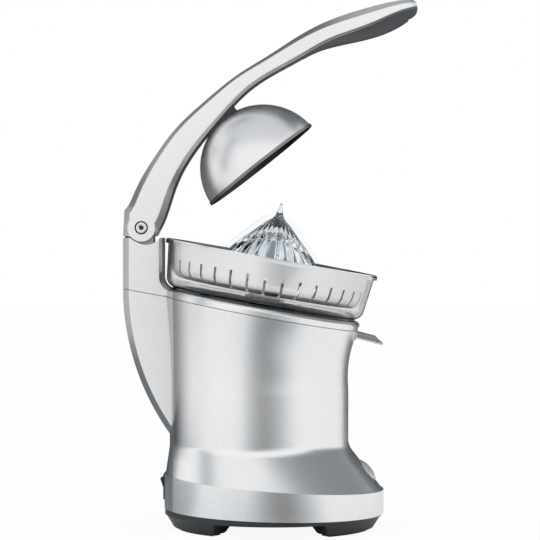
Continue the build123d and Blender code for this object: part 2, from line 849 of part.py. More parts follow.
def arm_plane(station):
    """The plane across the arm at a station, with X across the arm and Y to its outer side."""
    before = arm_stations[max(station - 1, 0)]
    after = arm_stations[min(station + 1, len(arm_stations) - 1)]
    along = (after[0] - before[0], 0, after[1] - before[1])
    reach, rise = arm_stations[station][:2]
    return Plane(origin=hinge_side.from_local_coords((reach, rise)), x_dir=(0, 1, 0), z_dir=along)


def arm_section(plane, depth, width, outer_bevel, inner_bevel):
    """A flat-sided section of the arm with all four corners bevelled and their edges eased."""
    half_width = width / 2
    half_depth = depth / 2
    spread = bevel_spread_share * outer_bevel
    side = [
        (half_width - inner_bevel, -half_depth),
        (half_width, inner_bevel - half_depth),
        (half_width, half_depth - outer_bevel),
        (half_width - spread, half_depth),
    ]
    with BuildSketch(plane) as section:
        with BuildLine():
            Polyline(*side, *[(-across, outward) for across, outward in reversed(side)], close=True)
        make_face()
        fillet(section.vertices(), arm_edge_round)
    return section.sketch


arm_sections = [
    arm_section(
        arm_plane(index),
        station[2] * arm_depth,
        station[3] * tower_width,
        station[4] * arm_bevel,
        station[5] * arm_bevel,
    )
    for index, station in enumerate(arm_stations)
]

seat_drop = arm_seat_height - hinge_height
block_back = hinge_back - tower_back
block_front = knuckle_radius
block_plane = Plane(
    origin=hinge_side.from_local_coords(((block_back + block_front) / 2, seat_drop)),
    x_dir=(0, 1, 0),
    z_dir=(0, 0, 1),
)
block_depth = block_front - block_back
block_section = arm_section(block_plane, block_depth, tower_width, arm_bevel, arm_bevel)
clear_radius = tongue_radius + 2 * running_gap
swing = radians(arm_swing)
slot_reach = arm_depth
slot_edge = (clear_radius * cos(swing), clear_radius * sin(swing))
slot_far = (slot_edge[0] + slot_reach * sin(swing), slot_edge[1] - slot_reach * cos(swing))

dome_pole = (-sin(radians(dome_tilt)), 0, cos(radians(dome_tilt)))
dome_along = (cos(radians(dome_tilt)), 0, sin(radians(dome_tilt)))
dome_middle = hinge_side.from_local_coords((dome_reach, dome_rise))
dome_rim = Plane(origin=dome_middle, x_dir=dome_along, z_dir=dome_pole)
dome_side = Plane(origin=dome_middle, x_dir=dome_along, z_dir=(0, -1, 0))
dome_top = dome_rim.offset(dome_crown - dome_flat)

# what the paddle's rounded nose leaves off the ends of the arm and the grip
with BuildPart() as nose_waste:
    with BuildSketch(hinge_side) as nose:
        with Locations((nose_reach_share * arm_reach, nose_rise_share * arm_rise)):
            Rectangle(2 * nose_radius, 4 * nose_radius, align=(Align.MIN, Align.CENTER))
            Circle(nose_radius, mode=Mode.SUBTRACT)
    extrude(nose.sketch, amount=tower_width, both=True)

with BuildPart() as press_arm:
    loft([block_section, arm_sections[0]], ruled=True)
    loft(arm_sections)
    add(nose_waste.part, mode=Mode.SUBTRACT)
    with BuildSketch(hinge_side) as knuckle:
        Circle(knuckle_radius)
    extrude(knuckle.sketch, amount=half_tower, both=True)
    # slot between the two fork cheeks, open at the bottom and the front
    with BuildSketch(hinge_side) as fork_slot:
        Circle(clear_radius)
        with BuildLine():
            Polyline(
                (-clear_radius, 0),
                slot_edge,
                slot_far,
                (slot_far[0], -slot_reach),
                (-clear_radius, -slot_reach),
                close=True,
            )
        make_face()
    extrude(fork_slot.sketch, amount=tongue_width / 2 + running_gap, both=True, mode=Mode.SUBTRACT)
    # bore and head recesses for the hinge pin
    with BuildSketch(hinge_side) as pin_bore:
        Circle(pin_radius)
    extrude(pin_bore.sketch, amount=tower_width, both=True, mode=Mode.SUBTRACT)
    for side in (1, -1):
        with BuildSketch(hinge_side.offset(side * half_tower)) as head_recess:
            Circle(pin_head_radius + slip_gap)
        extrude(head_recess.sketch, amount=-side * pin_head_height, mode=Mode.SUBTRACT)
    # blind hole for the dome's stud
    disc(dome_top, stud_radius, stud_length, Mode.SUBTRACT)
press_arm.part.label = "press_arm"
export_step(press_arm.part, "parts/press_arm.step")

# Hinge pin with its nut, and the torsion spring that holds the arm up
pin_half = half_tower - pin_head_height
with BuildPart() as hinge_pin:
    disc(hinge_side.offset(-half_tower + slip_gap), pin_radius, half_tower + pin_half - slip_gap)
    disc(hinge_side.offset(pin_half), pin_head_radius, pin_head_height)
    with BuildSketch(hinge_side.offset(half_tower)) as pin_socket:
        RegularPolygon(pin_socket_width / 2, 6, major_radius=False)
    extrude(pin_socket.sketch, amount=-pin_head_height, mode=Mode.SUBTRACT)
hinge_pin.part.label = "hinge_pin"
export_step(hinge_pin.part, "parts/hinge_pin.step")

with BuildPart() as hinge_nut:
    ring(hinge_side.offset(-half_tower), pin_head_radius, pin_radius, pin_head_height)
hinge_nut.part.label = "hinge_nut"
export_step(hinge_nut.part, "parts/hinge_nut.step")

hinge_spring_radius = pin_radius + 2 * hinge_spring_wire + slip_gap
hinge_spring_length = tongue_slot_width - 2 * (hinge_spring_wire + running_gap)
with BuildPart() as hinge_spring:
    coil(
        hinge_side.offset(-hinge_spring_length / 2),
        hinge_spring_radius,
        hinge_spring_wire,
        hinge_spring_turns,
        hinge_spring_length,
    )
hinge_spring.part.label = "hinge_spring"
export_step(hinge_spring.part, "parts/hinge_spring.step")

# Soft grip: a belly under the paddle, as shares of its depth and width at each of its stations
grip_station_shares = (
    (8, 0.16, 0.60),
    (9, 0.50, 0.90),
    (10, 0.80, 0.98),
    (11, 1.06, 1.00),
    (12, 1.04, 0.94),
    (13, 0.30, 0.62),
)


def grip_section(index, depth_share, width_share):
    """A section of the grip: a bowed underside and a top that runs into the arm."""
    half_width = width_share * grip_width / 2
    underside = -arm_stations[index][2] * arm_depth / 2
    with BuildSketch(arm_plane(index)) as section:
        with BuildLine():
            edge_left = (-half_width, underside)
            edge_right = (half_width, underside)
            ThreePointArc(edge_left, (0, underside - depth_share * grip_depth), edge_right)
            Polyline(edge_right, (half_width, 0), (-half_width, 0), edge_left)
        make_face()
    return section.sketch


with BuildPart() as grip_inlay:
    loft([grip_section(*shares) for shares in grip_station_shares])
    add(press_arm.part, mode=Mode.SUBTRACT)
    add(nose_waste.part, mode=Mode.SUBTRACT)
grip_inlay.part.label = "grip_inlay"
export_step(grip_inlay.part, "parts/grip_inlay.step")

# Press dome, its wedge plinth and its stud
sphere_radius = (dome_radius**2 + dome_crown**2) / (2 * dome_crown)
sphere_drop = dome_crown - sphere_radius


def cap_face(radius):
    """Half of a cap's side face: an arc from the pole to the rim plane, closed on the axis."""
    rim = sqrt(radius**2 - sphere_drop**2)
    lean = atan2(rim, -sphere_drop) / 2
    middle = (radius * sin(lean), sphere_drop + radius * cos(lean))
    with BuildSketch(dome_side) as face:
        with BuildLine():
            ThreePointArc((0, sphere_drop + radius), middle, (rim, 0))
            Polyline((rim, 0), (0, 0), (0, sphere_drop + radius))
        make_face()
    return face.sketch


dome_axis = Axis(dome_middle, dome_pole)
with BuildPart() as dome_solid:
    revolve(cap_face(sphere_radius), axis=dome_axis)

with BuildPart() as press_dome:
    add(dome_solid.part)
    with BuildSketch(dome_rim) as rim_band:
        Circle(dome_radius + dome_bead)
    extrude(rim_band.sketch, amount=dome_rim_height)
    revolve(cap_face(sphere_radius - dome_wall), axis=dome_axis, mode=Mode.SUBTRACT)
    disc(dome_top, dome_radius, dome_crown, Mode.SUBTRACT)
press_dome.part.label = "press_dome"
export_step(press_dome.part, "parts/press_dome.step")

with BuildPart() as dome_plinth:
    with BuildSketch(dome_rim.offset(dome_crown - plinth_height)) as plinth_face:
        with Locations((-plinth_shift, 0)):
            Rectangle(plinth_length, plinth_width)
    extrude(plinth_face.sketch, amount=2 * plinth_height)
    add(press_arm.part, mode=Mode.SUBTRACT)
    add(dome_solid.part, mode=Mode.SUBTRACT)
    disc(dome_top, stud_radius, stud_length, Mode.SUBTRACT)
dome_plinth.part.label = "dome_plinth"
export_step(dome_plinth.part, "parts/dome_plinth.step")

with BuildPart() as dome_stud:
    disc(dome_top, stud_radius, stud_length)
dome_stud.part.label = "dome_stud"
export_step(dome_stud.part, "parts/dome_stud.step")

# Juice collector: a clear bowl with a central chimney, a foot ring and a nozzle
chimney_inner = chimney_radius - bowl_wall
floor_top = bowl_floor_height + bowl_wall
floor_middle = bowl_floor_height + bowl_wall / 2
rim_underside = bowl_rim_height - bowl_rim_depth
bowl_low_corner = (bowl_bottom_radius, bowl_floor_height)
bowl_inner_corner = (bowl_bottom_radius - bowl_wall, floor_top)
with BuildPart() as juice_collector:
    with BuildSketch(press_side) as bowl_face:
        with BuildLine():
            Polyline(
                (chimney_inner, bowl_floor_height),
                (chimney_inner, chimney_height),
                (chimney_radius, chimney_height),
                (chimney_radius, floor_top),
                bowl_inner_corner,
                (bowl_top_radius - bowl_wall, bowl_rim_height),
                (bowl_rim_radius, bowl_rim_height),
                (bowl_rim_radius, rim_underside),
                (bowl_top_radius, rim_underside),
                bowl_low_corner,
                close=True,
            )
        make_face()
        fillet(bowl_face.vertices().sort_by_distance(bowl_low_corner)[0], bowl_corner_round)
        inner_corner = bowl_face.vertices().sort_by_distance(bowl_inner_corner)[0]
        fillet(inner_corner, bowl_corner_round - bowl_wall)
    revolve(bowl_face.sketch, axis=press_axis)
    foot_inner = bowl_foot_radius - bowl_foot_wall
    ring(deck_floor, bowl_foot_radius, foot_inner, deck_rim + floor_middle)
    with BuildSketch(deck.offset(floor_middle)) as nozzle_outside:
        with Locations((nozzle_reach, 0)):
            Rectangle(nozzle_length, nozzle_width)
    extrude(nozzle_outside.sketch, amount=-floor_middle - nozzle_drop)
    with BuildSketch(deck.offset(floor_top + bowl_wall)) as nozzle_inside:
        with Locations((nozzle_reach, 0)):
            Rectangle(nozzle_length - 2 * nozzle_wall, nozzle_width - 2 * nozzle_wall)
    extrude(nozzle_inside.sketch, amount=-floor_top - bowl_wall - nozzle_drop, mode=Mode.SUBTRACT)
juice_collector.part.label = "juice_collector"
export_step(juice_collector.part, "parts/juice_collector.step")

# Strainer basket: pressed sheet with slots that follow the turn of its wall
basket_top = bowl_top_radius - bowl_wall - strainer_gap
basket_bottom = bowl_bottom_radius - bowl_wall - strainer_gap
basket_floor = strainer_floor_height + strainer_sheet
basket_lip = bowl_rim_height + strainer_sheet
basket_low_corner = (basket_bottom, strainer_floor_height)
basket_inner_corner = (basket_bottom - strainer_sheet, basket_floor)
with BuildPart() as strainer_basket:
    with BuildSketch(press_side) as basket_face:
        with BuildLine():
            Polyline(
                (strainer_hub_radius, strainer_floor_height),
                (strainer_hub_radius, strainer_hub_height),
                (strainer_hub_radius + strainer_sheet, strainer_hub_height),
                (strainer_hub_radius + strainer_sheet, basket_floor),
                basket_inner_corner,
                (basket_top - strainer_sheet, basket_lip),
                (bowl_rim_radius - strainer_gap, basket_lip),
                (bowl_rim_radius - strainer_gap, bowl_rim_height),
                (basket_top, bowl_rim_height),
                basket_low_corner,
                close=True,
            )
        make_face()
        fillet(basket_face.vertices().sort_by_distance(basket_low_corner)[0], strainer_corner_round)
        inner_corner = basket_face.vertices().sort_by_distance(basket_inner_corner)[0]
        fillet(inner_corner, strainer_corner_round - strainer_sheet)
    revolve(basket_face.sketch, axis=press_axis)
    slot_bottom = strainer_floor_height - overrun
    slot_length = bowl_rim_radius - strainer_slot_inner_radius
    with BuildSketch(deck.offset(slot_bottom)) as wall_slots:
        with PolarLocations(strainer_slot_inner_radius + slot_length / 2, strainer_slots):
            Rectangle(slot_length, strainer_slot_width)
    extrude(wall_slots.sketch, amount=strainer_slot_top - slot_bottom, mode=Mode.SUBTRACT)
    floor_slot_length = floor_slot_outer_radius - floor_slot_inner_radius
    with BuildSketch(deck.offset(slot_bottom)) as sieve_slots:
        with PolarLocations(floor_slot_inner_radius + floor_slot_length / 2, floor_slots):
            SlotOverall(floor_slot_length, strainer_slot_width)
    extrude(sieve_slots.sketch, amount=2 * overrun + strainer_sheet, mode=Mode.SUBTRACT)
strainer_basket.part.label = "strainer_basket"
export_step(strainer_basket.part, "parts/strainer_basket.step")

# Reaming cone: each point is a share of its height below the tip and of its radius
cone_shares = (
    (0.193, 0.102),
    (0.266, 0.239),
    (0.379, 0.445),
    (0.493, 0.636),
    (0.629, 0.786),
    (0.786, 0.909),
    (0.943, 0.986),
    (1.000, 1.000),
)
cone_spike_share = (0.157, 0.050)
cone_roof_point = 2
fin_shares = (
    (0.144, 0.098),
    (0.099, 0.174),
    (0.209, 0.328),
    (0.314, 0.454),
    (0.409, 0.552),
    (0.444, 0.613),
    (0.509, 0.724),
    (0.624, 0.859),
    (0.800, 0.963),
    (0.971, 1.000),
)


def cone_point(share, radius):
    """Radius and height of a share of the cone."""
    return (share[1] * radius, cone_tip_height - share[0] * cone_height)


def radial_side(angle):
    """The upright plane that holds the press axis, at an angle around it."""
    turn = radians(angle)
    outward = deck.from_local_coords((cos(turn), sin(turn), 0)) - deck.origin
    return Plane(origin=deck_middle, x_dir=outward, z_dir=outward.cross(deck.z_dir))


def flatted_face(plane, radius, flat):
    """A round with two flats, for a shaft that drives or for its socket."""
    with BuildSketch(plane) as face:
        Circle(radius)
        Rectangle(2 * radius, 2 * flat, mode=Mode.INTERSECT)
    return face.sketch


def blades(planes, outline, width):
    """Upright blades on the cone, all of one outline."""
    with BuildSketch(*planes) as faces:
        with BuildLine():
            Polyline(*outline, close=True)
        make_face()
    extrude(faces.sketch, amount=width / 2, both=True)


cone_points = [cone_point(share, cone_radius) for share in cone_shares]
cone_spike = cone_point(cone_spike_share, cone_radius)
inside_points = [(reach - cone_wall, height - cone_wall) for reach, height in cone_points[cone_roof_point:]]
cone_roof = inside_points[0][1]
sunk_points = [(reach - cone_wall / 2, height) for reach, height in reversed(cone_points)]
rib_points = [(reach + cone_rib_height, height) for reach, height in cone_points]
fin_points = [cone_point(share, cone_fin_radius) for share in fin_shares]
socket_radius = spindle_radius + slip_gap
socket_flat = spindle_flat + slip_gap

with BuildPart() as reaming_cone:
    with BuildSketch(press_side) as cone_face:
        with BuildLine():
            Polyline((0, cone_tip_height), cone_spike, cone_points[0])
            Spline(*cone_points)
            Polyline(cone_points[-1], (0, cone_points[-1][1]), (0, cone_tip_height))
        make_face()
    revolve(cone_face.sketch, axis=press_axis)
    rib_turn = 360 / cone_ribs
    blades(
        [radial_side((index + 1 / 2) * rib_turn) for index in range(cone_ribs)],
        rib_points + sunk_points,
        cone_rib_width,
    )
    blades(
        [radial_side(index * 360 / cone_fins) for index in range(cone_fins)],
        fin_points + sunk_points,
        cone_fin_width,
    )
    hollow_points = [(0, cone_roof)] + inside_points + [(0, inside_points[-1][1])]
    turned(hollow_points, press_side, press_axis, Mode.SUBTRACT)
    hub_height = cone_roof - spindle_shoulder_height
    disc(deck.offset(spindle_shoulder_height), cone_hub_radius, hub_height)
    socket_face = flatted_face(deck.offset(spindle_shoulder_height), socket_radius, socket_flat)
    extrude(socket_face, amount=hub_height, mode=Mode.SUBTRACT)
reaming_cone.part.label = "reaming_cone"
export_step(reaming_cone.part, "parts/reaming_cone.step")

# Drive spindle: round in its bush and seal, flatted where it drives
spindle_collar_top = spindle_bush_bottom - running_gap
spindle_collar_bottom = spindle_collar_top - spindle_collar_depth
spindle_step = spindle_shoulder_height - spindle_shoulder_depth
with BuildPart() as drive_spindle:
    lower_face = flatted_face(deck.offset(spindle_bottom_height), spindle_radius, spindle_flat)
    extrude(lower_face, amount=spindle_collar_bottom - spindle_bottom_height)
    disc(deck.offset(spindle_collar_bottom), spindle_collar_radius, spindle_collar_depth)
    disc(deck.offset(spindle_collar_bottom), spindle_radius, spindle_step - spindle_collar_bottom)
    upper_face = flatted_face(deck.offset(spindle_step), spindle_radius, spindle_flat)
    extrude(upper_face, amount=spindle_top_height - spindle_step)
drive_spindle.part.label = "drive_spindle"
export_step(drive_spindle.part, "parts/drive_spindle.step")

with BuildPart() as slinger_washer:
    disc(deck.offset(spindle_step), spindle_shoulder_radius, spindle_shoulder_depth)
    washer_bore = flatted_face(deck.offset(spindle_step), socket_radius, socket_flat)
    extrude(washer_bore, amount=spindle_shoulder_depth, mode=Mode.SUBTRACT)
slinger_washer.part.label = "slinger_washer"
export_step(slinger_washer.part, "parts/slinger_washer.step")

with BuildPart() as spindle_bush:
    ring(deck.offset(spindle_bush_bottom), spindle_bush_radius, socket_radius, spindle_bush_length)
spindle_bush.part.label = "spindle_bush"
export_step(spindle_bush.part, "parts/spindle_bush.step")

with BuildPart() as shaft_seal:
    ring(deck.offset(boss_height - seal_depth), spindle_bush_radius, socket_radius, seal_depth)
shaft_seal.part.label = "shaft_seal"
export_step(shaft_seal.part, "parts/shaft_seal.step")

gear_hub_top = gear_boss_bottom + gear_bush_length
spring_bottom = gear_hub_top + spring_wire + slip_gap
with BuildPart() as cone_return_spring:
    coil(
        deck.offset(spring_bottom),
        spring_radius,
        spring_wire,
        spring_turns,
        spindle_collar_bottom - spring_wire - slip_gap - spring_bottom,
    )
cone_return_spring.part.label = "cone_return_spring"
export_step(cone_return_spring.part, "parts/cone_return_spring.step")

# Gear train: output gear, compound idler and its axle, gear plate
gear_plate_bottom = gear_plate_height - gear_plate_thickness
lower_bush_top = gear_plate_bottom + gear_bush_length
output_gear_bottom = output_gear_top - output_gear_width
wheel_bottom = wheel_top - wheel_width
idler_angle = degrees(atan2(idler_aside, idler_ahead))
motor_angle = degrees(atan2(-idler_aside, motor_offset - idler_ahead))
pinion_phase = idler_angle + 180 + 180 / idler_pinion_teeth
motor_phase = motor_angle + 180 + 180 / motor_pinion_teeth
motor_bush_radius = motor_shaft_radius + slip_gap + motor_bush_wall

with BuildPart() as output_gear:
    output_face = toothed_face(deck.offset(output_gear_bottom), output_teeth, idler_angle)
    extrude(output_face, amount=output_gear_width)
    disc(deck.offset(gear_plate_bottom), gear_hub_radius, gear_hub_top - gear_plate_bottom)
    disc(deck.offset(lower_bush_top + running_gap), gear_bush_radius, mesh_overlap)
    hub_bore = flatted_face(deck.offset(gear_plate_bottom), socket_radius, socket_flat)
    extrude(hub_bore, amount=gear_hub_top - gear_plate_bottom, mode=Mode.SUBTRACT)
output_gear.part.label = "output_gear"
export_step(output_gear.part, "parts/output_gear.step")

with BuildPart() as gear_bushes:
    for bush_bottom in (gear_boss_bottom, gear_plate_bottom):
        ring(deck.offset(bush_bottom), gear_bush_radius, gear_hub_radius + slip_gap, gear_bush_length)
gear_bushes.part.label = "gear_bushes"
export_step(gear_bushes.part, "parts/gear_bushes.step")

with BuildPart() as idler_gear:
    wheel_face = toothed_face(idler.offset(wheel_bottom), idler_wheel_teeth, motor_angle)
    extrude(wheel_face, amount=wheel_width)
    pinion_top = idler_boss_bottom - running_gap
    pinion_face = toothed_face(idler.offset(wheel_top), idler_pinion_teeth, pinion_phase)
    extrude(pinion_face, amount=pinion_top - wheel_top)
    idler_bottom = gear_plate_height + running_gap
    disc(idler.offset(idler_bottom), idler_hub_radius, wheel_bottom - idler_bottom)
    disc(idler.offset(idler_bottom), idler_axle_radius + slip_gap, pinion_top - idler_bottom, Mode.SUBTRACT)
idler_gear.part.label = "idler_gear"
export_step(idler_gear.part, "parts/idler_gear.step")

with BuildPart() as idler_axle:
    axle_top = idler_boss_bottom + idler_axle_seat
    disc(idler.offset(gear_plate_bottom), idler_axle_radius, axle_top - gear_plate_bottom)
idler_axle.part.label = "idler_axle"
export_step(idler_axle.part, "parts/idler_axle.step")

motor_screw_places = [
    polar(motor.offset(gear_plate_height), motor_screw_reach, angle) for angle in motor_screw_angles
]
with BuildPart() as gear_plate:
    with BuildSketch(deck.offset(gear_plate_bottom)) as plate_outline:
        with Locations((gear_plate_span / 2, 0)):
            SlotCenterToCenter(gear_plate_span, 2 * gear_plate_radius)
    extrude(plate_outline.sketch, amount=gear_plate_thickness)
    disc(deck.offset(gear_plate_bottom), gear_bush_radius, gear_plate_thickness, Mode.SUBTRACT)
    disc(idler.offset(gear_plate_bottom), idler_axle_radius, gear_plate_thickness, Mode.SUBTRACT)
    disc(motor.offset(gear_plate_bottom), motor_bush_radius, gear_plate_thickness, Mode.SUBTRACT)
    for place in post_places:
        disc(place.offset(gear_plate_bottom), screw_radius, gear_plate_thickness, Mode.SUBTRACT)
    for place in motor_screw_places:
        disc(place, screw_radius, -gear_plate_thickness, Mode.SUBTRACT)
gear_plate.part.label = "gear_plate"
export_step(gear_plate.part, "parts/gear_plate.step")

with BuildPart() as gear_plate_screws:
    screw_set([-place.offset(gear_plate_bottom) for place in post_places])
gear_plate_screws.part.label = "gear_plate_screws"
export_step(gear_plate_screws.part, "parts/gear_plate_screws.step")

# Motor: can with a bush at each end, wound stator, rotor, shaft and pinion
can_inner = motor_radius - motor_can_wall
motor_bottom = gear_plate_bottom - motor_length
stator_top = gear_plate_bottom - stator_drop
stator_bottom = stator_top - stator_length
shaft_bottom = motor_bottom + running_gap
motor_pinion_top = wheel_top + mesh_overlap
motor_pinion_bottom = wheel_bottom - mesh_overlap
winding_inner = rotor_radius + 2 * air_gap

with BuildPart() as motor_can:
    disc(motor.offset(gear_plate_bottom), motor_radius, -motor_length)
    disc(motor.offset(gear_plate_bottom - motor_face), can_inner, -motor_length, Mode.SUBTRACT)
    disc(motor.offset(gear_plate_bottom), motor_bush_radius, -motor_length, Mode.SUBTRACT)
    for place in motor_screw_places:
        disc(place, screw_radius, -gear_plate_thickness - motor_face, Mode.SUBTRACT)
motor_can.part.label = "motor_can"
export_step(motor_can.part, "parts/motor_can.step")

with BuildPart() as motor_cap:
    disc(motor.offset(motor_bottom), can_inner, motor_face)
    disc(motor.offset(motor_bottom), motor_cap_boss, motor_bush_length)
    disc(motor.offset(motor_bottom), motor_bush_radius, motor_bush_length, Mode.SUBTRACT)
motor_cap.part.label = "motor_cap"
export_step(motor_cap.part, "parts/motor_cap.step")

with BuildPart() as motor_screws:
    screw_set(motor_screw_places, motor_screw_length)
motor_screws.part.label = "motor_screws"
export_step(motor_screws.part, "parts/motor_screws.step")

with BuildPart() as motor_bushes:
    for bush_bottom in (gear_plate_height - motor_bush_length, motor_bottom):
        bush_inner = motor_shaft_radius + slip_gap
        ring(motor.offset(bush_bottom), motor_bush_radius, bush_inner, motor_bush_length)
motor_bushes.part.label = "motor_bushes"
export_step(motor_bushes.part, "parts/motor_bushes.step")

with BuildPart() as stator_core:
    ring(motor.offset(stator_bottom), can_inner, rotor_radius + air_gap, stator_length)
stator_core.part.label = "stator_core"
export_step(stator_core.part, "parts/stator_core.step")

with BuildPart() as motor_windings:
    for winding_bottom in (stator_top, stator_bottom - winding_height):
        ring(motor.offset(winding_bottom), winding_inner + winding_wall, winding_inner, winding_height)
motor_windings.part.label = "motor_windings"
export_step(motor_windings.part, "parts/motor_windings.step")

with BuildPart() as rotor_core:
    ring(motor.offset(stator_bottom), rotor_radius, motor_shaft_radius, stator_length)
rotor_core.part.label = "rotor_core"
export_step(rotor_core.part, "parts/rotor_core.step")

with BuildPart() as motor_shaft:
    disc(motor.offset(shaft_bottom), motor_shaft_radius, motor_pinion_top - shaft_bottom)
motor_shaft.part.label = "motor_shaft"
export_step(motor_shaft.part, "parts/motor_shaft.step")

with BuildPart() as motor_pinion:
    pinion_width = motor_pinion_top - motor_pinion_bottom
    motor_pinion_face = toothed_face(motor.offset(motor_pinion_bottom), motor_pinion_teeth, motor_phase)
    extrude(motor_pinion_face, amount=pinion_width)
    disc(motor.offset(motor_pinion_bottom), motor_shaft_radius, pinion_width, Mode.SUBTRACT)
motor_pinion.part.label = "motor_pinion"
export_step(motor_pinion.part, "parts/motor_pinion.step")

# Start switch: pressing the cone pushes the spindle down on its plunger
switch_top = spindle_bottom_height - plunger_stand
plunger_top = spindle_bottom_height - running_gap
plunger_bore = switch_top - plunger_top + plunger_length + spindle_travel + 2 * running_gap
switch_back = -switch_shift - switch_length / 2
bracket_height = gear_plate_bottom - switch_top + switch_height
with BuildPart() as micro_switch:
    with BuildSketch(deck.offset(switch_top)) as switch_face:
        with Locations((-switch_shift, 0)):
            Rectangle(switch_length, switch_width)
    extrude(switch_face.sketch, amount=-switch_height)
    disc(deck.offset(switch_top), plunger_radius + slip_gap, -plunger_bore, Mode.SUBTRACT)
micro_switch.part.label = "micro_switch"
export_step(micro_switch.part, "parts/micro_switch.step")

with BuildPart() as switch_plunger:
    disc(deck.offset(plunger_top), plunger_radius, -plunger_length)
switch_plunger.part.label = "switch_plunger"
export_step(switch_plunger.part, "parts/switch_plunger.step")

with BuildPart() as switch_bracket:
    with BuildSketch(deck.offset(gear_plate_bottom)) as bracket_leg:
        with Locations((switch_back - bracket_thickness / 2, 0)):
            Rectangle(bracket_thickness, switch_width)
    extrude(bracket_leg.sketch, amount=-bracket_height)
    with BuildSketch(deck.offset(gear_plate_bottom)) as bracket_top:
        with Locations((switch_back - bracket_foot / 2, 0)):
            Rectangle(bracket_foot, switch_width)
    extrude(bracket_top.sketch, amount=-bracket_thickness)
switch_bracket.part.label = "switch_bracket"
export_step(switch_bracket.part, "parts/switch_bracket.step")

# Spout: a bent sheet channel on two stub pins, so that it can be tipped up against drips
spout_underside = -spout_pivot_depth
spout_wall_top = spout_underside + spout_depth
spout_tail = Plane(
    origin=spout_pivot.from_local_coords((-spout_back, 0)), x_dir=(0, 1, 0), z_dir=spout_pivot.x_dir
)


def channel_face(inset):
    """A round-cornered section of the channel, drawn in by an inset."""
    width = spout_width - 2 * inset
    with BuildSketch(spout_tail) as face:
        with Locations((0, spout_underside + inset + spout_depth)):
            Rectangle(width, 2 * spout_depth)
        fillet(face.vertices().group_by(Axis.Z)[0], spout_floor_round - inset)
    return face.sketch


with BuildPart() as spout:
    extrude(channel_face(0), amount=spout_back + spout_front)
    trough = channel_face(spout_wall)
    trough = trough.moved(Location(spout_pivot.x_dir * spout_wall))
    extrude(trough, amount=2 * spout_front, mode=Mode.SUBTRACT)
    with BuildSketch(spout_pivot) as spout_outline:
        with BuildLine():
            Polyline(
                (-spout_back, spout_underside),
                (spout_front, spout_underside),
                (spout_front, spout_underside + spout_wall),
                (spout_front - spout_lip, spout_wall_top),
                (-spout_ear_length, spout_wall_top),
                (-spout_back, spout_wall_top - spout_back_drop),
                close=True,
            )
        make_face()
    extrude(spout_outline.sketch, amount=spout_width, both=True, mode=Mode.INTERSECT)
    with BuildSketch(spout_pivot) as pin_holes:
        Circle(spout_pin_radius + slip_gap)
    extrude(pin_holes.sketch, amount=spout_width, both=True, mode=Mode.SUBTRACT)
spout.part.label = "spout"
export_step(spout.part, "parts/spout.step")

with BuildPart() as spout_pins:
    stub_start = spout_width / 2 - spout_wall
    stub_length = spout_wall + running_gap + spout_ear_width
    for side in (1, -1):
        disc(spout_pivot.offset(side * stub_start), spout_pin_radius, side * stub_length)
spout_pins.part.label = "spout_pins"
export_step(spout_pins.part, "parts/spout_pins.step")

# Rear switch: a frame in the band and a rocker on trunnions, its top out at rest
frame_outside = Plane.YZ.offset(-base_radius - switch_frame_proud)
frame_length = switch_frame_proud + switch_frame_depth - overrun
with BuildPart() as rear_switch_body:
    with BuildSketch(frame_outside) as frame_outline:
        with Locations((0, rocker_height)):
            Rectangle(
                2 * (frame_half_width + switch_frame_rim),
                2 * (frame_half_height + switch_frame_rim),
            )
    extrude(frame_outline.sketch, amount=frame_length)
    with BuildSketch(frame_outside) as frame_opening:
        with Locations((0, rocker_height)):
            Rectangle(2 * frame_half_width, 2 * frame_half_height)
    extrude(frame_opening.sketch, amount=frame_length - switch_frame_rim, mode=Mode.SUBTRACT)
    with BuildSketch(rocker_middle) as trunnion_bore:
        Circle(rocker_pin_radius + slip_gap)
    extrude(trunnion_bore.sketch, amount=rocker_width, both=True, mode=Mode.SUBTRACT)
rear_switch_body.part.label = "rear_switch_body"
export_step(rear_switch_body.part, "parts/rear_switch_body.step")

rocker_lean = radians(rocker_rest_angle)
rocker_rest = Plane(
    origin=rocker_middle.origin, x_dir=(cos(rocker_lean), 0, sin(rocker_lean)), z_dir=(0, -1, 0)
)
with BuildPart() as rear_rocker:
    with BuildSketch(rocker_rest) as rocker_outline:
        with BuildLine():
            Polyline(
                (-rocker_face, rocker_radius),
                (rocker_dish - rocker_face, 0),
                (-rocker_face, -rocker_radius),
                (rocker_inside, -rocker_radius),
                (rocker_inside, rocker_radius),
                close=True,
            )
        make_face()
        Circle(rocker_radius, mode=Mode.INTERSECT)
    extrude(rocker_outline.sketch, amount=rocker_width / 2, both=True)
    with BuildSketch(rocker_middle) as trunnions:
        Circle(rocker_pin_radius)
    extrude(trunnions.sketch, amount=frame_half_width + switch_frame_rim, both=True)
rear_rocker.part.label = "rear_rocker"
export_step(rear_rocker.part, "parts/rear_rocker.step")

# Front button: an oval cap that slides in a cup, with its spring and switch inside
cup_floor = button_well_wall - button_well_depth
with BuildPart() as button_room:
    body_form(shell_wall + running_gap)

with BuildPart() as button_well:
    with BuildSketch(button_face.offset(-button_well_depth)) as cup_outline:
        Ellipse(well_inner_length / 2 + button_well_wall, well_inner_width / 2 + button_well_wall)
    extrude(cup_outline.sketch, amount=button_well_depth)
    with BuildSketch(button_face.offset(cup_floor)) as cup_inside:
        Ellipse(well_inner_length / 2, well_inner_width / 2)
    extrude(cup_inside.sketch, amount=button_well_depth, mode=Mode.SUBTRACT)
    add(button_room.part, mode=Mode.INTERSECT)
button_well.part.label = "button_well"
export_step(button_well.part, "parts/button_well.step")

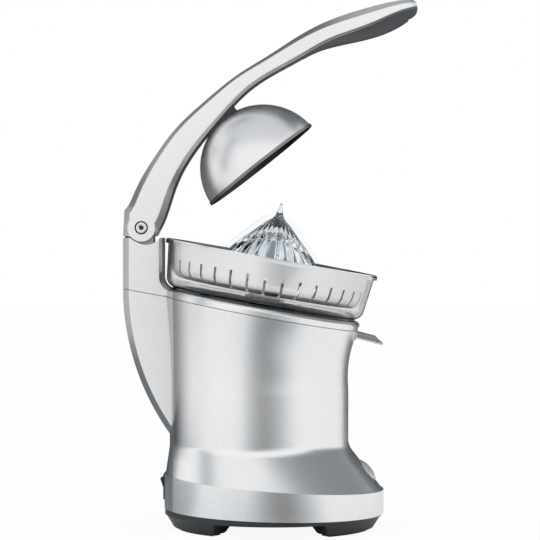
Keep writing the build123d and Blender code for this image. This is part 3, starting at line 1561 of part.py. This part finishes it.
switch_stand = cup_floor + button_switch_height
nub_length = -button_depth - switch_stand - button_travel - running_gap
with BuildPart() as front_button:
    with BuildSketch(button_face.offset(-button_depth)) as button_outline:
        Ellipse(button_length / 2, button_width / 2)
    extrude(button_outline.sketch, amount=button_depth + button_proud)
    with Locations(button_face.offset(button_proud - button_crown)):
        Sphere(button_crown, mode=Mode.INTERSECT)
    disc(button_face.offset(-button_depth), button_nub_radius, -nub_length)
front_button.part.label = "front_button"
export_step(front_button.part, "parts/front_button.step")

button_spring_bottom = cup_floor + button_spring_wire + slip_gap
with BuildPart() as button_spring:
    coil(
        button_face.offset(button_spring_bottom),
        button_spring_radius,
        button_spring_wire,
        button_spring_turns,
        -button_depth - button_spring_wire - slip_gap - button_spring_bottom,
    )
button_spring.part.label = "button_spring"
export_step(button_spring.part, "parts/button_spring.step")

with BuildPart() as button_switch:
    with BuildSketch(button_face.offset(cup_floor)) as button_switch_face:
        Rectangle(button_switch_size, button_switch_size)
    extrude(button_switch_face.sketch, amount=button_switch_height)
button_switch.part.label = "button_switch"
export_step(button_switch.part, "parts/button_switch.step")
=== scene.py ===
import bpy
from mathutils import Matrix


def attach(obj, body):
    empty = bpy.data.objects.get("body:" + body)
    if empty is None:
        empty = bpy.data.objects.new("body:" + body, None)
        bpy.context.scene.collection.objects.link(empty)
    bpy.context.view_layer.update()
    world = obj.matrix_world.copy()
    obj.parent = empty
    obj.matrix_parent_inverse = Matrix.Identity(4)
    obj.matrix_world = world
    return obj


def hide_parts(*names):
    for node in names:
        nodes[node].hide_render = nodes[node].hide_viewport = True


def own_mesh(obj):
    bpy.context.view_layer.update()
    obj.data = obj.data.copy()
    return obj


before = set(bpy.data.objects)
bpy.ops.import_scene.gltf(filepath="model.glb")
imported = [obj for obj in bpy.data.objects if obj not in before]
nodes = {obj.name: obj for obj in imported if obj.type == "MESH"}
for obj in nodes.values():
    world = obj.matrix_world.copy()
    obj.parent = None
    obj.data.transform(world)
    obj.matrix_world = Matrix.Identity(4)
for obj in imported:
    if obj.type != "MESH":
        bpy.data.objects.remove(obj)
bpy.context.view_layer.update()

import math

import bmesh
import bpy
from mathutils import Matrix, Vector


# Base plate: the black underside, moulded in glass-filled nylon with four foot pods.
# It closes the bottom of the body, and four screws hold it from below. The cord gland is
# the same plastic.
class Wire:
    """A socket in a material: sums on it add Math nodes, and node() adds any other node."""

    def __init__(self, tree, socket):
        self.tree = tree
        self.socket = socket

    def node(self, kind, inputs=None, settings=None, out=0):
        made = self.tree.nodes.new(kind)
        for name, value in (settings or {}).items():
            setattr(made, name, value)
        for key, value in (inputs or {}).items():
            if isinstance(value, Wire):
                self.tree.links.new(value.socket, made.inputs[key])
            else:
                made.inputs[key].default_value = value
        return Wire(self.tree, made.outputs[out])

    def math(self, operation, first, second):
        return self.node("ShaderNodeMath", {0: first, 1: second}, {"operation": operation})

    def __add__(self, other):
        return self.math("ADD", self, other)

    __radd__ = __add__

    def __sub__(self, other):
        return self.math("SUBTRACT", self, other)

    def __rsub__(self, other):
        return self.math("SUBTRACT", other, self)

    def __mul__(self, other):
        return self.math("MULTIPLY", self, other)

    __rmul__ = __mul__

    def vector(self, operation, other, out=0):
        """Vector maths with another vector: out 1 gives a number, as for a dot product."""
        return self.node("ShaderNodeVectorMath", {0: self, 1: other}, {"operation": operation}, out)

    def coordinate(self, axis):
        """One coordinate of this wire's place: 0, 1 or 2."""
        return self.node("ShaderNodeSeparateXYZ", {0: self}, out=axis)

    def ramp(self, start, stop, curve="LINEAR"):
        """From 0 where this wire is at start to 1 where it is at stop."""
        ends = {"Value": self, "From Min": start, "From Max": stop}
        return self.node("ShaderNodeMapRange", ends, {"interpolation_type": curve})

    def noise(self, scale, detail=2.0):
        """Noise between 0 and 1 on this wire's place."""
        return self.node("ShaderNodeTexNoise", {"Vector": self, "Scale": scale, "Detail": detail})

    def blend(self, low, high):
        """From one colour to another as this wire goes from 0 to 1."""
        ends = [end if isinstance(end, Wire) else (*end, 1) for end in (low, high)]
        return self.node("ShaderNodeMix", {0: self, 6: ends[0], 7: ends[1]}, {"data_type": "RGBA"}, out=2)


def new_finish(name, **constants):
    """A material, its shader, and a wire that carries the place on the object in metres."""
    material = bpy.data.materials.new(name)
    material.use_nodes = True
    tree = material.node_tree
    shader = tree.nodes["Principled BSDF"]
    for socket, value in constants.items():
        shader.inputs[socket.replace("_", " ")].default_value = value
    place = Wire(tree, tree.nodes.new("ShaderNodeTexCoord").outputs["Object"])
    return material, shader, place


def feed(shader, **wires):
    """Links wires to a shader's sockets."""
    for socket, wire in wires.items():
        wire.tree.links.new(wire.socket, shader.inputs[socket.replace("_", " ")])


def bump(height, strength, distance):
    """A bump from a height wire, its depth in metres."""
    return height.node("ShaderNodeBump", {"Height": height, "Strength": strength, "Distance": distance})


def dress(material, *names):
    """Gives a finish to CAD nodes whose shape is right as it is."""
    for name in names:
        mesh = nodes[name].data
        mesh.materials.clear()
        mesh.materials.append(material)
        mesh.polygons.foreach_set("material_index", [0] * len(mesh.polygons))


def moulded_finish(name, dark, light, rough, grain):
    """Moulded plastic with a fine spark-eroded grain."""
    material, shader, place = new_finish(name)
    fine = place.noise(grain, 3)
    broad = place.noise(40)
    feed(
        shader,
        Base_Color=(fine * 0.5 + broad * 0.5).blend(dark, light),
        Roughness=rough + (fine - 0.5) * 0.2,
        Normal=bump(fine, 0.25, 0.0002),
    )
    return material


base_black = moulded_finish("base_black", (0.012, 0.014, 0.016), (0.026, 0.029, 0.032), 0.42, 1600)
dress(base_black, "base_plate", "cord_gland")


# Rubber soles, the shaft seal and the stop bumper: black rubber, die cut or moulded.
# The soles are glued under the pods, so only their edge shows as a darker line.
rubber_black = moulded_finish("rubber_black", (0.006, 0.006, 0.006), (0.014, 0.014, 0.014), 0.75, 900)
dress(rubber_black, "rubber_feet", "shaft_seal", "stop_bumper")


# Screws, nut, stud, stub pins and washer: turned or headed steel, bright zinc or stainless.
# They sit below and inside, so little of them shows from the side.
def steel_finish(name, dark, light, rough, lines):
    """Machined steel with fine tool marks."""
    material, shader, place = new_finish(name, Metallic=1.0)
    marks = place.noise(lines, 2)
    smears = place.noise(60)
    feed(
        shader,
        Base_Color=(marks * 0.6 + smears * 0.4).blend(dark, light),
        Roughness=rough + (smears - 0.5) * 0.15,
        Normal=bump(marks, 0.1, 0.0001),
    )
    return material


screw_steel = steel_finish("screw_steel", (0.50, 0.51, 0.53), (0.66, 0.67, 0.69), 0.3, 2200)
dress(screw_steel, "base_screws", "deck_screws", "gear_plate_screws", "motor_screws")
dress(screw_steel, "hinge_nut", "dome_stud", "spout_pins", "slinger_washer")


# Hinge pin: a turned stainless pin whose round head sits flush in the arm with a gap all round.
# The head has a small socket, painted dark as painted shade.
hinge_x = -0.1105
hinge_z = 0.2523
pin_turns = 96
pin_profile = (
    (0.0017, -0.0184), (0.0019, -0.0197), (0.0024, -0.0200), (0.0040, -0.0200), (0.0046, -0.0197),
    (0.0048, -0.0191), (0.0048, -0.0181), (0.0039, -0.0181), (0.0039, 0.0190), (0.0036, 0.0194),
)
socket_least = 0.0015
socket_most = 0.0020


def turned_faces(rows, turns):
    """Faces between the rows of points of a turned shape, with a cap on its first and its last row."""
    faces = []
    for first in range(0, (rows - 1) * turns, turns):
        second = first + turns
        for step in range(turns):
            after = (step + 1) % turns
            faces.append((first + step, first + after, second + after, second + step))
    faces.append(tuple(range(turns)))
    faces.append(tuple(range((rows - 1) * turns, rows * turns)))
    return faces


def closed_piece(name, points, faces):
    """An object made of points and faces, with its faces turned outwards."""
    mesh = bpy.data.meshes.new(name)
    mesh.from_pydata(points, [], faces)
    build = bmesh.new()
    build.from_mesh(mesh)
    bmesh.ops.recalc_face_normals(build, faces=build.faces)
    build.to_mesh(mesh)
    build.free()
    piece = bpy.data.objects.new(name, mesh)
    bpy.context.scene.collection.objects.link(piece)
    return piece


pin_points = []
for reach, along in pin_profile:
    for step in range(pin_turns):
        angle = 2 * math.pi * step / pin_turns
        pin_points.append((hinge_x + reach * math.cos(angle), along, hinge_z + reach * math.sin(angle)))
pin_body = closed_piece("pin_body", pin_points, turned_faces(len(pin_profile), pin_turns))
pin_mesh = pin_body.data
pin_steel = steel_finish("pin_steel", (0.80, 0.81, 0.82), (0.94, 0.95, 0.96), 0.36, 2200)
# Painted shade: the pin's small socket gets a near-black colour for the shade in its recess.
socket_grime = moulded_finish("socket_grime", (0.02, 0.02, 0.02), (0.05, 0.05, 0.05), 0.6, 1500)
pin_mesh.materials.append(pin_steel)
pin_mesh.materials.append(socket_grime)
for face in pin_mesh.polygons:
    corners = [pin_mesh.vertices[index].co for index in face.vertices]
    reaches = [math.hypot(corner.x - hinge_x, corner.z - hinge_z) for corner in corners]
    face.use_smooth = len(corners) == 4
    face.material_index = int(min(reaches) > socket_least and max(reaches) < socket_most)
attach(pin_body, "arm")
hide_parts("hinge_pin")


# Body shell, upper housing and press arm: die castings, sprayed with one satin silver paint.
# Its metal flake shows as a slight grain. The shell holds base band, flare, column and the lower
# half of the spine, and screws hold the housing on it.
bevel_facing = 0.84
flat_facing = 0.97
spine_front = -0.083
tower_foot = 0.21
crease_front = -0.064
crease_back = -0.084
flare_low = 0.058
flare_high = 0.075
recess_reach = 0.00565
edge_shade = 0.42
crease_shade = 0.72
recess_shade = 0.97


def casting_finish():
    """Silver paint with painted light: pale and less metallic on flat sides, painted shade on bevels, in
    the pin's recess and crease.
    """
    material, shader, place = new_finish("casting_silver")
    across = place.node("ShaderNodeTexCoord", out=1).coordinate(1)
    flat = place.math("ABSOLUTE", across, 0).ramp(bevel_facing, flat_facing, "SMOOTHSTEP")
    ahead = place.coordinate(0)
    height = place.coordinate(2)
    behind = place.math("LESS_THAN", ahead, spine_front)
    above = place.math("GREATER_THAN", height, tower_foot)
    spine = place.math("MAXIMUM", behind, above)
    # Painted light: the flat sides of spine and arm are made pale and less metallic, as if lit.
    painted_pale = flat * spine
    edge = spine - painted_pale
    corner = ahead.ramp(crease_front, crease_back, "SMOOTHSTEP")
    crease = (1 - spine) * corner * height.ramp(flare_low, flare_high)
    from_hinge = place.vector("SUBTRACT", (hinge_x, 0, hinge_z))
    reach = from_hinge.vector("MULTIPLY", (1, 0, 1)).vector("LENGTH", (0, 0, 0), out=1)
    recess = place.math("LESS_THAN", reach, recess_reach)
    # Painted shade: bevels, the crease by the spine and the ring round the hinge pin are darkened in the
    # colour.
    shade = edge * edge_shade + crease * crease_shade + recess * recess_shade
    unshaded = place.math("MAXIMUM", 1 - shade, 0)
    flake = place.noise(760, 3)
    cloud = place.noise(18)
    grain = flake * 0.9 + cloud * 0.1
    bright = grain.blend((0.79, 0.805, 0.82), (1.0, 1.0, 1.0))
    painted_pale_and_dark = grain.blend((0.80, 0.81, 0.82), (1.0, 1.0, 1.0))
    feed(
        shader,
        Base_Color=unshaded.blend((0, 0, 0), painted_pale.blend(bright, painted_pale_and_dark)),
        Metallic=place.math("MAXIMUM", 1 - painted_pale * 0.75 - recess, 0),
        Roughness=0.31 + (flake - 0.5) * 0.04,
        Normal=bump(flake, 0.03, 0.0001),
    )
    return material


dress(casting_finish(), "body_shell", "upper_housing", "press_arm")


# Rear switch: a black snap-in frame in the band and a rocker on two trunnions.
# Both are moulded plastic, and the rocker's top stands out at rest.
rocker_black = moulded_finish("rocker_black", (0.012, 0.012, 0.014), (0.022, 0.022, 0.025), 0.3, 1200)
dress(rocker_black, "rear_rocker", "rear_switch_body")


# Front button: an oval silver-painted cap in a black cup behind the shell.
# A small coil spring carries it over a switch and shortens when it is pressed.
button_way = Vector((0.772734, 0, 0.634731))
button_travel = 0.0015


def silver_paint(name, dark, light, rough):
    """Satin silver paint: metal flake grain in the colour and a soft, slightly uneven gloss."""
    material, shader, place = new_finish(name, Metallic=1.0)
    flake = place.noise(1500, 2)
    cloud = place.noise(18)
    feed(
        shader,
        Base_Color=(flake * 0.8 + cloud * 0.2).blend(dark, light),
        Roughness=rough + (flake - 0.5) * 0.12,
        Normal=bump(flake, 0.06, 0.0001),
    )
    return material


def pressed_spring(name, node, body, axis, travel):
    """A copy of a CAD coil spring in spring steel, hung on a body in place of the node; it keeps its
    length.
    """
    spring = bpy.data.objects.new(name, nodes[node].data.copy())
    bpy.context.scene.collection.objects.link(spring)
    spring.matrix_world = nodes[node].matrix_world.copy()
    coil = bmesh.new()
    coil.from_mesh(spring.data)
    bmesh.ops.remove_doubles(coil, verts=coil.verts, dist=0.000001)
    coil.to_mesh(spring.data)
    coil.free()
    spring.data.materials.clear()
    spring.data.materials.append(spring_steel)
    heights = [axis.dot(spring.matrix_world @ point.co) for point in spring.data.vertices]
    length = max(heights) - min(heights)
    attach(spring, body)
    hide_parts(node)
    tuple(axis * min(heights))
    (length - travel) / length
    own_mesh(spring)


button_silver = silver_paint("button_silver", (0.93, 0.94, 0.95), (0.99, 0.99, 1.0), 0.5)
dress(button_silver, "front_button")
dress(base_black, "button_well")
spring_steel = steel_finish("spring_steel", (0.30, 0.30, 0.32), (0.46, 0.46, 0.48), 0.32, 2600)
pressed_spring("button_coil", "button_spring", "body", button_way, button_travel)


# Drive inside the column: motor, two-stage gear train, spindle, and the start switch.
# Pressing fruit on the cone pushes the spindle down on the switch's plunger, and the return
# spring round the spindle, on the gear's hub, lifts it again.
spindle_way = Vector((0.178802, 0, 0.983885))
cone_travel = 0.0025
inner_steel = steel_finish("inner_steel", (0.42, 0.43, 0.45), (0.56, 0.57, 0.59), 0.38, 1800)
bush_bronze = steel_finish("bush_bronze", (0.45, 0.29, 0.13), (0.60, 0.42, 0.22), 0.4, 2000)
winding_copper = steel_finish("winding_copper", (0.42, 0.16, 0.06), (0.62, 0.28, 0.12), 0.35, 700)
gear_nylon = moulded_finish("gear_nylon", (0.72, 0.70, 0.64), (0.82, 0.80, 0.75), 0.45, 1100)
switch_case = moulded_finish("switch_case", (0.03, 0.03, 0.035), (0.05, 0.05, 0.055), 0.4, 1300)
dress(inner_steel, "drive_spindle", "idler_axle", "motor_shaft", "motor_pinion", "hinge_tongue")
dress(inner_steel, "gear_plate", "motor_can", "motor_cap", "stator_core", "rotor_core", "switch_bracket")
dress(spring_steel, "hinge_spring")
pressed_spring("return_coil", "cone_return_spring", "gear", spindle_way, cone_travel)
dress(bush_bronze, "hinge_bushes", "spindle_bush", "gear_bushes", "motor_bushes")
dress(winding_copper, "motor_windings")
dress(gear_nylon, "output_gear", "idler_gear")
dress(switch_case, "micro_switch", "switch_plunger", "button_switch")


# Spout: a channel bent from stainless sheet, with fine lines along it.
# It turns on two stub pins, so that it can be tipped up against drips.
def stainless_finish(name, dark, light, rough, stretch):
    """Stainless sheet with fine lines: the stretch squeezes the noise across the lines."""
    material, shader, place = new_finish(name, Metallic=1.0)
    along = place.node("ShaderNodeMapping", {"Vector": place, "Scale": stretch})
    lines = along.noise(1.0, 3)
    cloud = place.noise(25)
    feed(
        shader,
        Base_Color=(lines * 0.6 + cloud * 0.4).blend(dark, light),
        Roughness=rough + (lines - 0.5) * 0.14,
        Normal=bump(lines, 0.05, 0.0001),
    )
    return material


spout_steel = stainless_finish("spout_steel", (0.62, 0.63, 0.65), (0.80, 0.81, 0.83), 0.2, (60, 1800, 1800))
dress(spout_steel, "spout")


# Juice collector: a clear moulded bowl on the tilted deck, with the strainer hung in it by its rim.
# Its foot is darkened as painted shade, and its glancing edges as painted dark reflection.
press_tilt = math.radians(10.3)
deck_middle = Vector((-0.0091, 0, 0.1874))
press_up = Vector((math.sin(press_tilt), 0, math.cos(press_tilt)))
foot_top = 0.008
foot_middle = 0.003


def bowl_foot(place):
    """1 in the bowl's foot, 0 from its wall up."""
    over_deck = place.vector("DOT_PRODUCT", tuple(press_up), out=1) - press_up.dot(deck_middle)
    return over_deck.ramp(foot_top, foot_middle)


def clear_finish(name, tint, dark, rough, painted_shade_mask=None):
    """Clear plastic with faint moulding ripple, painted dark at glancing edges as painted reflection, and
    as painted shade where the mask gives 1.
    """
    material, shader, place = new_finish(name, Transmission_Weight=1.0, IOR=1.49)
    ripple = place.noise(120)
    # Painted reflection and painted shade: glancing edges, and places where the mask gives 1, take the dark
    # colour.
    painted_pale_and_dark = place.node("ShaderNodeLayerWeight", {"Blend": 0.16}, out=1)
    if painted_shade_mask:
        painted_pale_and_dark = place.math("MAXIMUM", painted_shade_mask(place), painted_pale_and_dark)
    feed(
        shader,
        Base_Color=painted_pale_and_dark.blend(tint, dark),
        Roughness=rough + ripple * 0.03,
        Normal=bump(ripple, 0.03, 0.0005),
    )
    return material


collector_clear = clear_finish("collector_clear", (0.99, 0.995, 1.0), (0.28, 0.29, 0.30), 0.01, bowl_foot)
dress(collector_clear, "juice_collector")


# Strainer basket: a bowl pressed from stainless sheet, with slots cut round its wall and its floor.
# Its brushed outside is bright, and its inside, painted dark as painted shade, shows through the slots.
def hollow_wires(material, middle):
    """The spoke from a hollow's middle to each place, and 1 where the face looks back at the middle."""
    tree = material.node_tree
    coordinates = tree.nodes["Texture Coordinate"].outputs
    spoke = Wire(tree, coordinates["Object"]).vector("SUBTRACT", tuple(middle))
    outward = spoke.vector("DOT_PRODUCT", Wire(tree, coordinates["Normal"]), out=1)
    return spoke, spoke.math("LESS_THAN", outward, 0)


def darken(material, mask, colour):
    """Takes a finish to a darker colour as the mask goes from 0 to 1."""
    shader = material.node_tree.nodes["Principled BSDF"]
    outer = Wire(material.node_tree, shader.inputs["Base Color"].links[0].from_socket)
    feed(shader, Base_Color=mask.blend(outer, colour))


basket_steel = stainless_finish("basket_steel", (0.91, 0.915, 0.92), (1.0, 1.0, 1.0), 0.3, (60, 60, 2200))
basket_inside = hollow_wires(basket_steel, deck_middle)[1]
# Painted shade: the basket's inside is darkened in the colour.
darken(basket_steel, basket_inside, (0.19, 0.20, 0.21))
dress(basket_steel, "strainer_basket")


# Reaming cone: clear, faintly blue, moulded with deep flutes, four thin fins and a slender spike.
# It is pushed on the spindle's flats and lifts off for washing.
cone_turns = 192
cone_ribs = 24
rib_sharpness = 0.7
# height over the deck, reach, and the flutes' depth as a share of the reach: outside down, inside up
cone_rows = (
    (0.0867, 0.0007, 0), (0.0862, 0.0011, 0), (0.0840, 0.0015, 0), (0.0795, 0.0024, 0), (0.0757, 0.0037, 0),
    (0.0735, 0.0056, 0.04), (0.0708, 0.0088, 0.08), (0.0681, 0.0120, 0.10), (0.0640, 0.0158, 0.10),
    (0.0602, 0.0196, 0.09), (0.0562, 0.0238, 0.08), (0.0522, 0.0280, 0.07), (0.0470, 0.0330, 0.06),
    (0.0420, 0.0369, 0.05), (0.0360, 0.0403, 0.045), (0.0290, 0.0425, 0.04), (0.0218, 0.0438, 0.03),
    (0.0218, 0.0410, 0), (0.0380, 0.0352, 0), (0.0480, 0.0268, 0), (0.0560, 0.0160, 0), (0.0600, 0.0085, 0),
)
fins = 4
fin_turn = 8
fin_half = 0.0006
# reach and height of a fin's free edge, and of its root in the cone's wall
fin_edge = (
    (0.0045, 0.0757), (0.0120, 0.0757), (0.0225, 0.0640), (0.0330, 0.0530), (0.0405, 0.0430),
    (0.0445, 0.0300), (0.0458, 0.0218),
)
fin_root = (
    (0.0025, 0.0757), (0.0070, 0.0708), (0.0140, 0.0640), (0.0258, 0.0530), (0.0346, 0.0430),
    (0.0408, 0.0300), (0.0424, 0.0218),
)

cone_points = []
for height, reach, depth in cone_rows:
    for step in range(cone_turns):
        angle = 2 * math.pi * step / cone_turns
        ridge = abs(math.cos(cone_ribs / 2 * angle)) ** rib_sharpness
        radius = reach * (1 - depth * (1 - ridge))
        cone_points.append(Vector((radius * math.cos(angle), radius * math.sin(angle), height)))
cone_faces = turned_faces(len(cone_rows), cone_turns)
line_points = len(fin_edge)
for fin in range(fins):
    turn = Matrix.Rotation(math.radians(360 / fins * fin + fin_turn), 4, "Z")
    near_edge = len(cone_points)
    near_root, far_edge, far_root = [near_edge + line_points * line for line in (1, 2, 3)]
    for side in (-fin_half, fin_half):
        for reach, height in fin_edge + fin_root:
            cone_points.append(turn @ Vector((reach, side, height)))
    strips = ((near_root, near_edge), (near_edge, far_edge), (far_edge, far_root), (far_root, near_root))
    for index in range(line_points - 1):
        for one, other in strips:
            cone_faces.append((one + index, other + index, other + index + 1, one + index + 1))
    for index in (0, line_points - 1):
        cone_faces.append((near_root + index, near_edge + index, far_edge + index, far_root + index))
press_ahead = Vector((math.cos(press_tilt), 0, -math.sin(press_tilt)))
lean = Matrix((press_ahead, Vector((0, 1, 0)), press_up)).transposed().to_4x4()
seat = Matrix.Translation(deck_middle) @ lean
cone_body = closed_piece("cone_body", [seat @ point for point in cone_points], cone_faces)
for face in cone_body.data.polygons:
    face.use_smooth = face.index < cone_turns * (len(cone_rows) - 1)
# Painted reflection: the cone's glancing edges are painted a darker blue.
cone_clear = clear_finish("cone_clear", (0.94, 0.97, 0.99), (0.52, 0.66, 0.75), 0.02)
cone_body.data.materials.append(cone_clear)
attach(cone_body, "cone")
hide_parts("reaming_cone")


# Grip inlay and dome plinth: a soft grey grip fixed under the arm's paddle,
# and a black moulded wedge that sets the dome's tilt on the arm.
grip_grey = moulded_finish("grip_grey", (0.055, 0.06, 0.065), (0.085, 0.09, 0.095), 0.5, 1400)
dress(grip_grey, "grip_inlay")
dress(base_black, "dome_plinth")


# Press dome: spun from stainless sheet, satin outside, with a rolled hem; its inside and hem are painted
# dark as painted shade.
# One stud holds it under the arm, through the plinth.
dome_lean = math.radians(38.3)
dome_pole = Vector((-math.sin(dome_lean), 0, math.cos(dome_lean)))
rim_middle = Vector((-0.0104, 0, 0.30465))
hollow_drop = 0.012
hem_top = 0.0145
hem_shade = 0.75
dome_steel = stainless_finish("dome_steel", (0.82, 0.82, 0.83), (0.95, 0.95, 0.96), 0.36, (900, 900, 900))
dome_spoke, dome_inside = hollow_wires(dome_steel, rim_middle - dome_pole * hollow_drop)
along_pole = dome_spoke.vector("DOT_PRODUCT", tuple(dome_pole), out=1)
dome_hem = dome_spoke.math("LESS_THAN", along_pole, hem_top)
# Painted shade: the dome's inside and its hem are darkened in the colour.
darken(dome_steel, dome_spoke.math("MAXIMUM", dome_inside, dome_hem * hem_shade), (0.05, 0.055, 0.06))
dress(dome_steel, "press_dome")


# Studio: a pale floor, a white surround, and the camera.
# Dark and grey cards stand round the object. Only reflections see them, and they give the metal
# its streaks and its dark edges.
card_lift = 0.003


def flag(name, corners, colour):
    """A flat card that only reflections see."""
    mesh = bpy.data.meshes.new(name)
    mesh.from_pydata(corners, [], [(0, 1, 2, 3)])
    card = bpy.data.objects.new(name, mesh)
    bpy.context.scene.collection.objects.link(card)
    material = bpy.data.materials.new(name)
    material.use_nodes = True
    shade = material.node_tree.nodes.new("ShaderNodeEmission")
    shade.inputs["Color"].default_value = (*colour, 1)
    output = material.node_tree.nodes["Material Output"]
    material.node_tree.links.new(shade.outputs[0], output.inputs["Surface"])
    mesh.materials.append(material)
    card.visible_camera = False
    card.visible_diffuse = False
    card.visible_transmission = False
    card.visible_shadow = False
    return card


def around(reach, azimuth, height):
    """A place at a reach from the object and an azimuth in degrees, where 0 is the camera's side."""
    turn = math.radians(azimuth)
    return (reach * math.sin(turn), -reach * math.cos(turn), height)


def wall_card(start, stop, reach, low, high):
    """Corners of an upright card between two azimuths."""
    places = ((start, low), (stop, low), (stop, high), (start, high))
    return [around(reach, azimuth, height) for azimuth, height in places]


def floor_card(start, stop, near, far):
    """Corners of a card on the floor between two azimuths."""
    places = ((near, start), (near, stop), (far, stop), (far, start))
    return [around(reach, azimuth, card_lift) for reach, azimuth in places]


# azimuths in degrees and brightness of the strips that column, strainer and band reflect
column_strips = (
    (-18, -13, 0.70), (-13, -9, 0.45), (-9, 9, 0.27), (9, 15, 0.42), (15, 21, 0.55), (21, 29, 0.70),
    (29, 40, 0.86),
)
strainer_strips = ((-12, -2, 0.6), (-2, 6, 0.3), (6, 26, 0.06), (26, 34, 0.3), (34, 44, 0.6))
band_strips = (
    (-70, -40, 0.75), (-40, -20, 0.62), (-20, -8, 0.42), (-8, 2, 0.24), (2, 20, 0.10), (20, 30, 0.26),
    (30, 40, 0.5),
)
for start, stop, level in column_strips:
    for corners in (wall_card(start, stop, 1.0, 0.006, 0.28), floor_card(start, stop, 0.34, 0.66)):
        flag("front_flag", corners, (level * 0.97, level, level * 1.02))
for start, stop, level in strainer_strips:
    for corners in (wall_card(start, stop, 0.99, 0.004, 0.07), floor_card(start, stop, 0.66, 1.0)):
        card = flag("strainer_flag", corners, (level * 0.97, level, level * 1.02))
        card.visible_transmission = True
for start, stop, level in band_strips:
    flag("band_flag", floor_card(start, stop, 0.13, 0.34), (level * 0.96, level, level * 1.03))
left_side = [(-0.3, 0.11, 0), (-0.3, 1.4, 0), (-0.3, 1.4, 1.4), (-0.3, 0.11, 1.4)]
flag("left_flag", left_side, (0.17, 0.195, 0.215))
flag("bevel_flag", wall_card(-80, -64, 1.0, 0.21, 1.3), (0.28, 0.31, 0.33))
far_left = [(-0.9, 0.45, 0.3), (-0.9, 2.2, 0.3), (-0.9, 2.2, 0.9), (-0.9, 0, 0.7)]
flag("far_flag", far_left, (0.22, 0.25, 0.27))
right_side = [(0.3, 0.25, 0), (0.3, 1.6, 0), (0.3, 1.6, 1.4), (0.3, 0.25, 1.4)]
flag("right_flag", right_side, (0.075, 0.09, 0.10))
back = [around(0.5, 152, 0.004), around(0.5, 232, 0.004), around(1.9, 232, 2.2), around(1.9, 152, 2.2)]
flag("back_flag", back, (0.05, 0.062, 0.07))
left_floor = ((-0.7, -0.16), (-0.12, -0.05), (-0.12, 0.3), (-0.7, 0.6))
flag("floor_flag", [(*place, card_lift) for place in left_floor], (0.26, 0.29, 0.31))
slope = [(-0.01, -0.22, 0.26), (0.9, -0.22, 0.26), (0.9, 0.9, 0.26), (0.10, 0, 0.26)]
flag("slope_flag", slope, (0.21, 0.23, 0.25))
roof = [(-1.6, -1.2, 1.6), (1.2, -1.2, 1.6), (1.2, 0.6, 1.6), (-1.6, 0.6, 1.6)]
flag("roof_flag", roof, (0.66, 0.68, 0.69))

floor_half = 6
floor_glow = 0.92
floor_corners = [(x * floor_half, y * floor_half, 0) for x, y in ((-1, -1), (1, -1), (1, 1), (-1, 1))]
floor_mesh = bpy.data.meshes.new("floor")
floor_mesh.from_pydata(floor_corners, [], [(0, 1, 2, 3)])
floor = bpy.data.objects.new("floor", floor_mesh)
bpy.context.scene.collection.objects.link(floor)
floor_paint, floor_shader, floor_place = new_finish("floor_paint", Roughness=0.9)
floor_shader.inputs["Base Color"].default_value = (0.98, 0.98, 0.98, 1)
floor_tree = floor_paint.node_tree
seen = floor_place.node("ShaderNodeLightPath", out="Is Camera Ray")
glow = seen.node("ShaderNodeEmission", {"Color": (1, 1, 1, 1)})
lit = Wire(floor_tree, floor_shader.outputs[0])
mixed = seen.node("ShaderNodeMixShader", {0: seen * floor_glow, 1: lit, 2: glow})
floor_tree.links.new(mixed.socket, floor_tree.nodes["Material Output"].inputs["Surface"])
floor_mesh.materials.append(floor_paint)

room_light = 0.94
world = bpy.data.worlds.new("studio")
bpy.context.scene.world = world
world.use_nodes = True
sky = world.node_tree.nodes["Background"]
sky.inputs["Color"].default_value = (1, 1, 1, 1)
path = world.node_tree.nodes.new("ShaderNodeLightPath")
camera_ray, glossy_ray, clear_ray = [
    Wire(world.node_tree, path.outputs[f"Is {kind} Ray"]) for kind in ("Camera", "Glossy", "Transmission")
]
shown = clear_ray.math("MAXIMUM", clear_ray.math("MAXIMUM", camera_ray, glossy_ray), clear_ray)
sky_level = shown * (1 - room_light) + room_light
world.node_tree.links.new(sky_level.socket, sky.inputs["Strength"])

distance = 1.95
yaw = math.radians(1.6)
camera_lift = 0.03
half_view = 0.2277
target = Vector((-0.0034, 0, 0.2167))
camera_data = bpy.data.cameras.new("camera")
camera = bpy.data.objects.new("camera", camera_data)
bpy.context.scene.collection.objects.link(camera)
towards = Vector((math.sin(yaw), -math.cos(yaw), 0))
camera.location = target + towards * distance + Vector((0, 0, camera_lift))
camera.rotation_euler = (target - camera.location).to_track_quat("-Z", "Y").to_euler()
camera_data.angle = 2 * math.atan(half_view / distance)
bpy.context.scene.camera = camera
bpy.context.scene.view_settings.view_transform = "Standard"
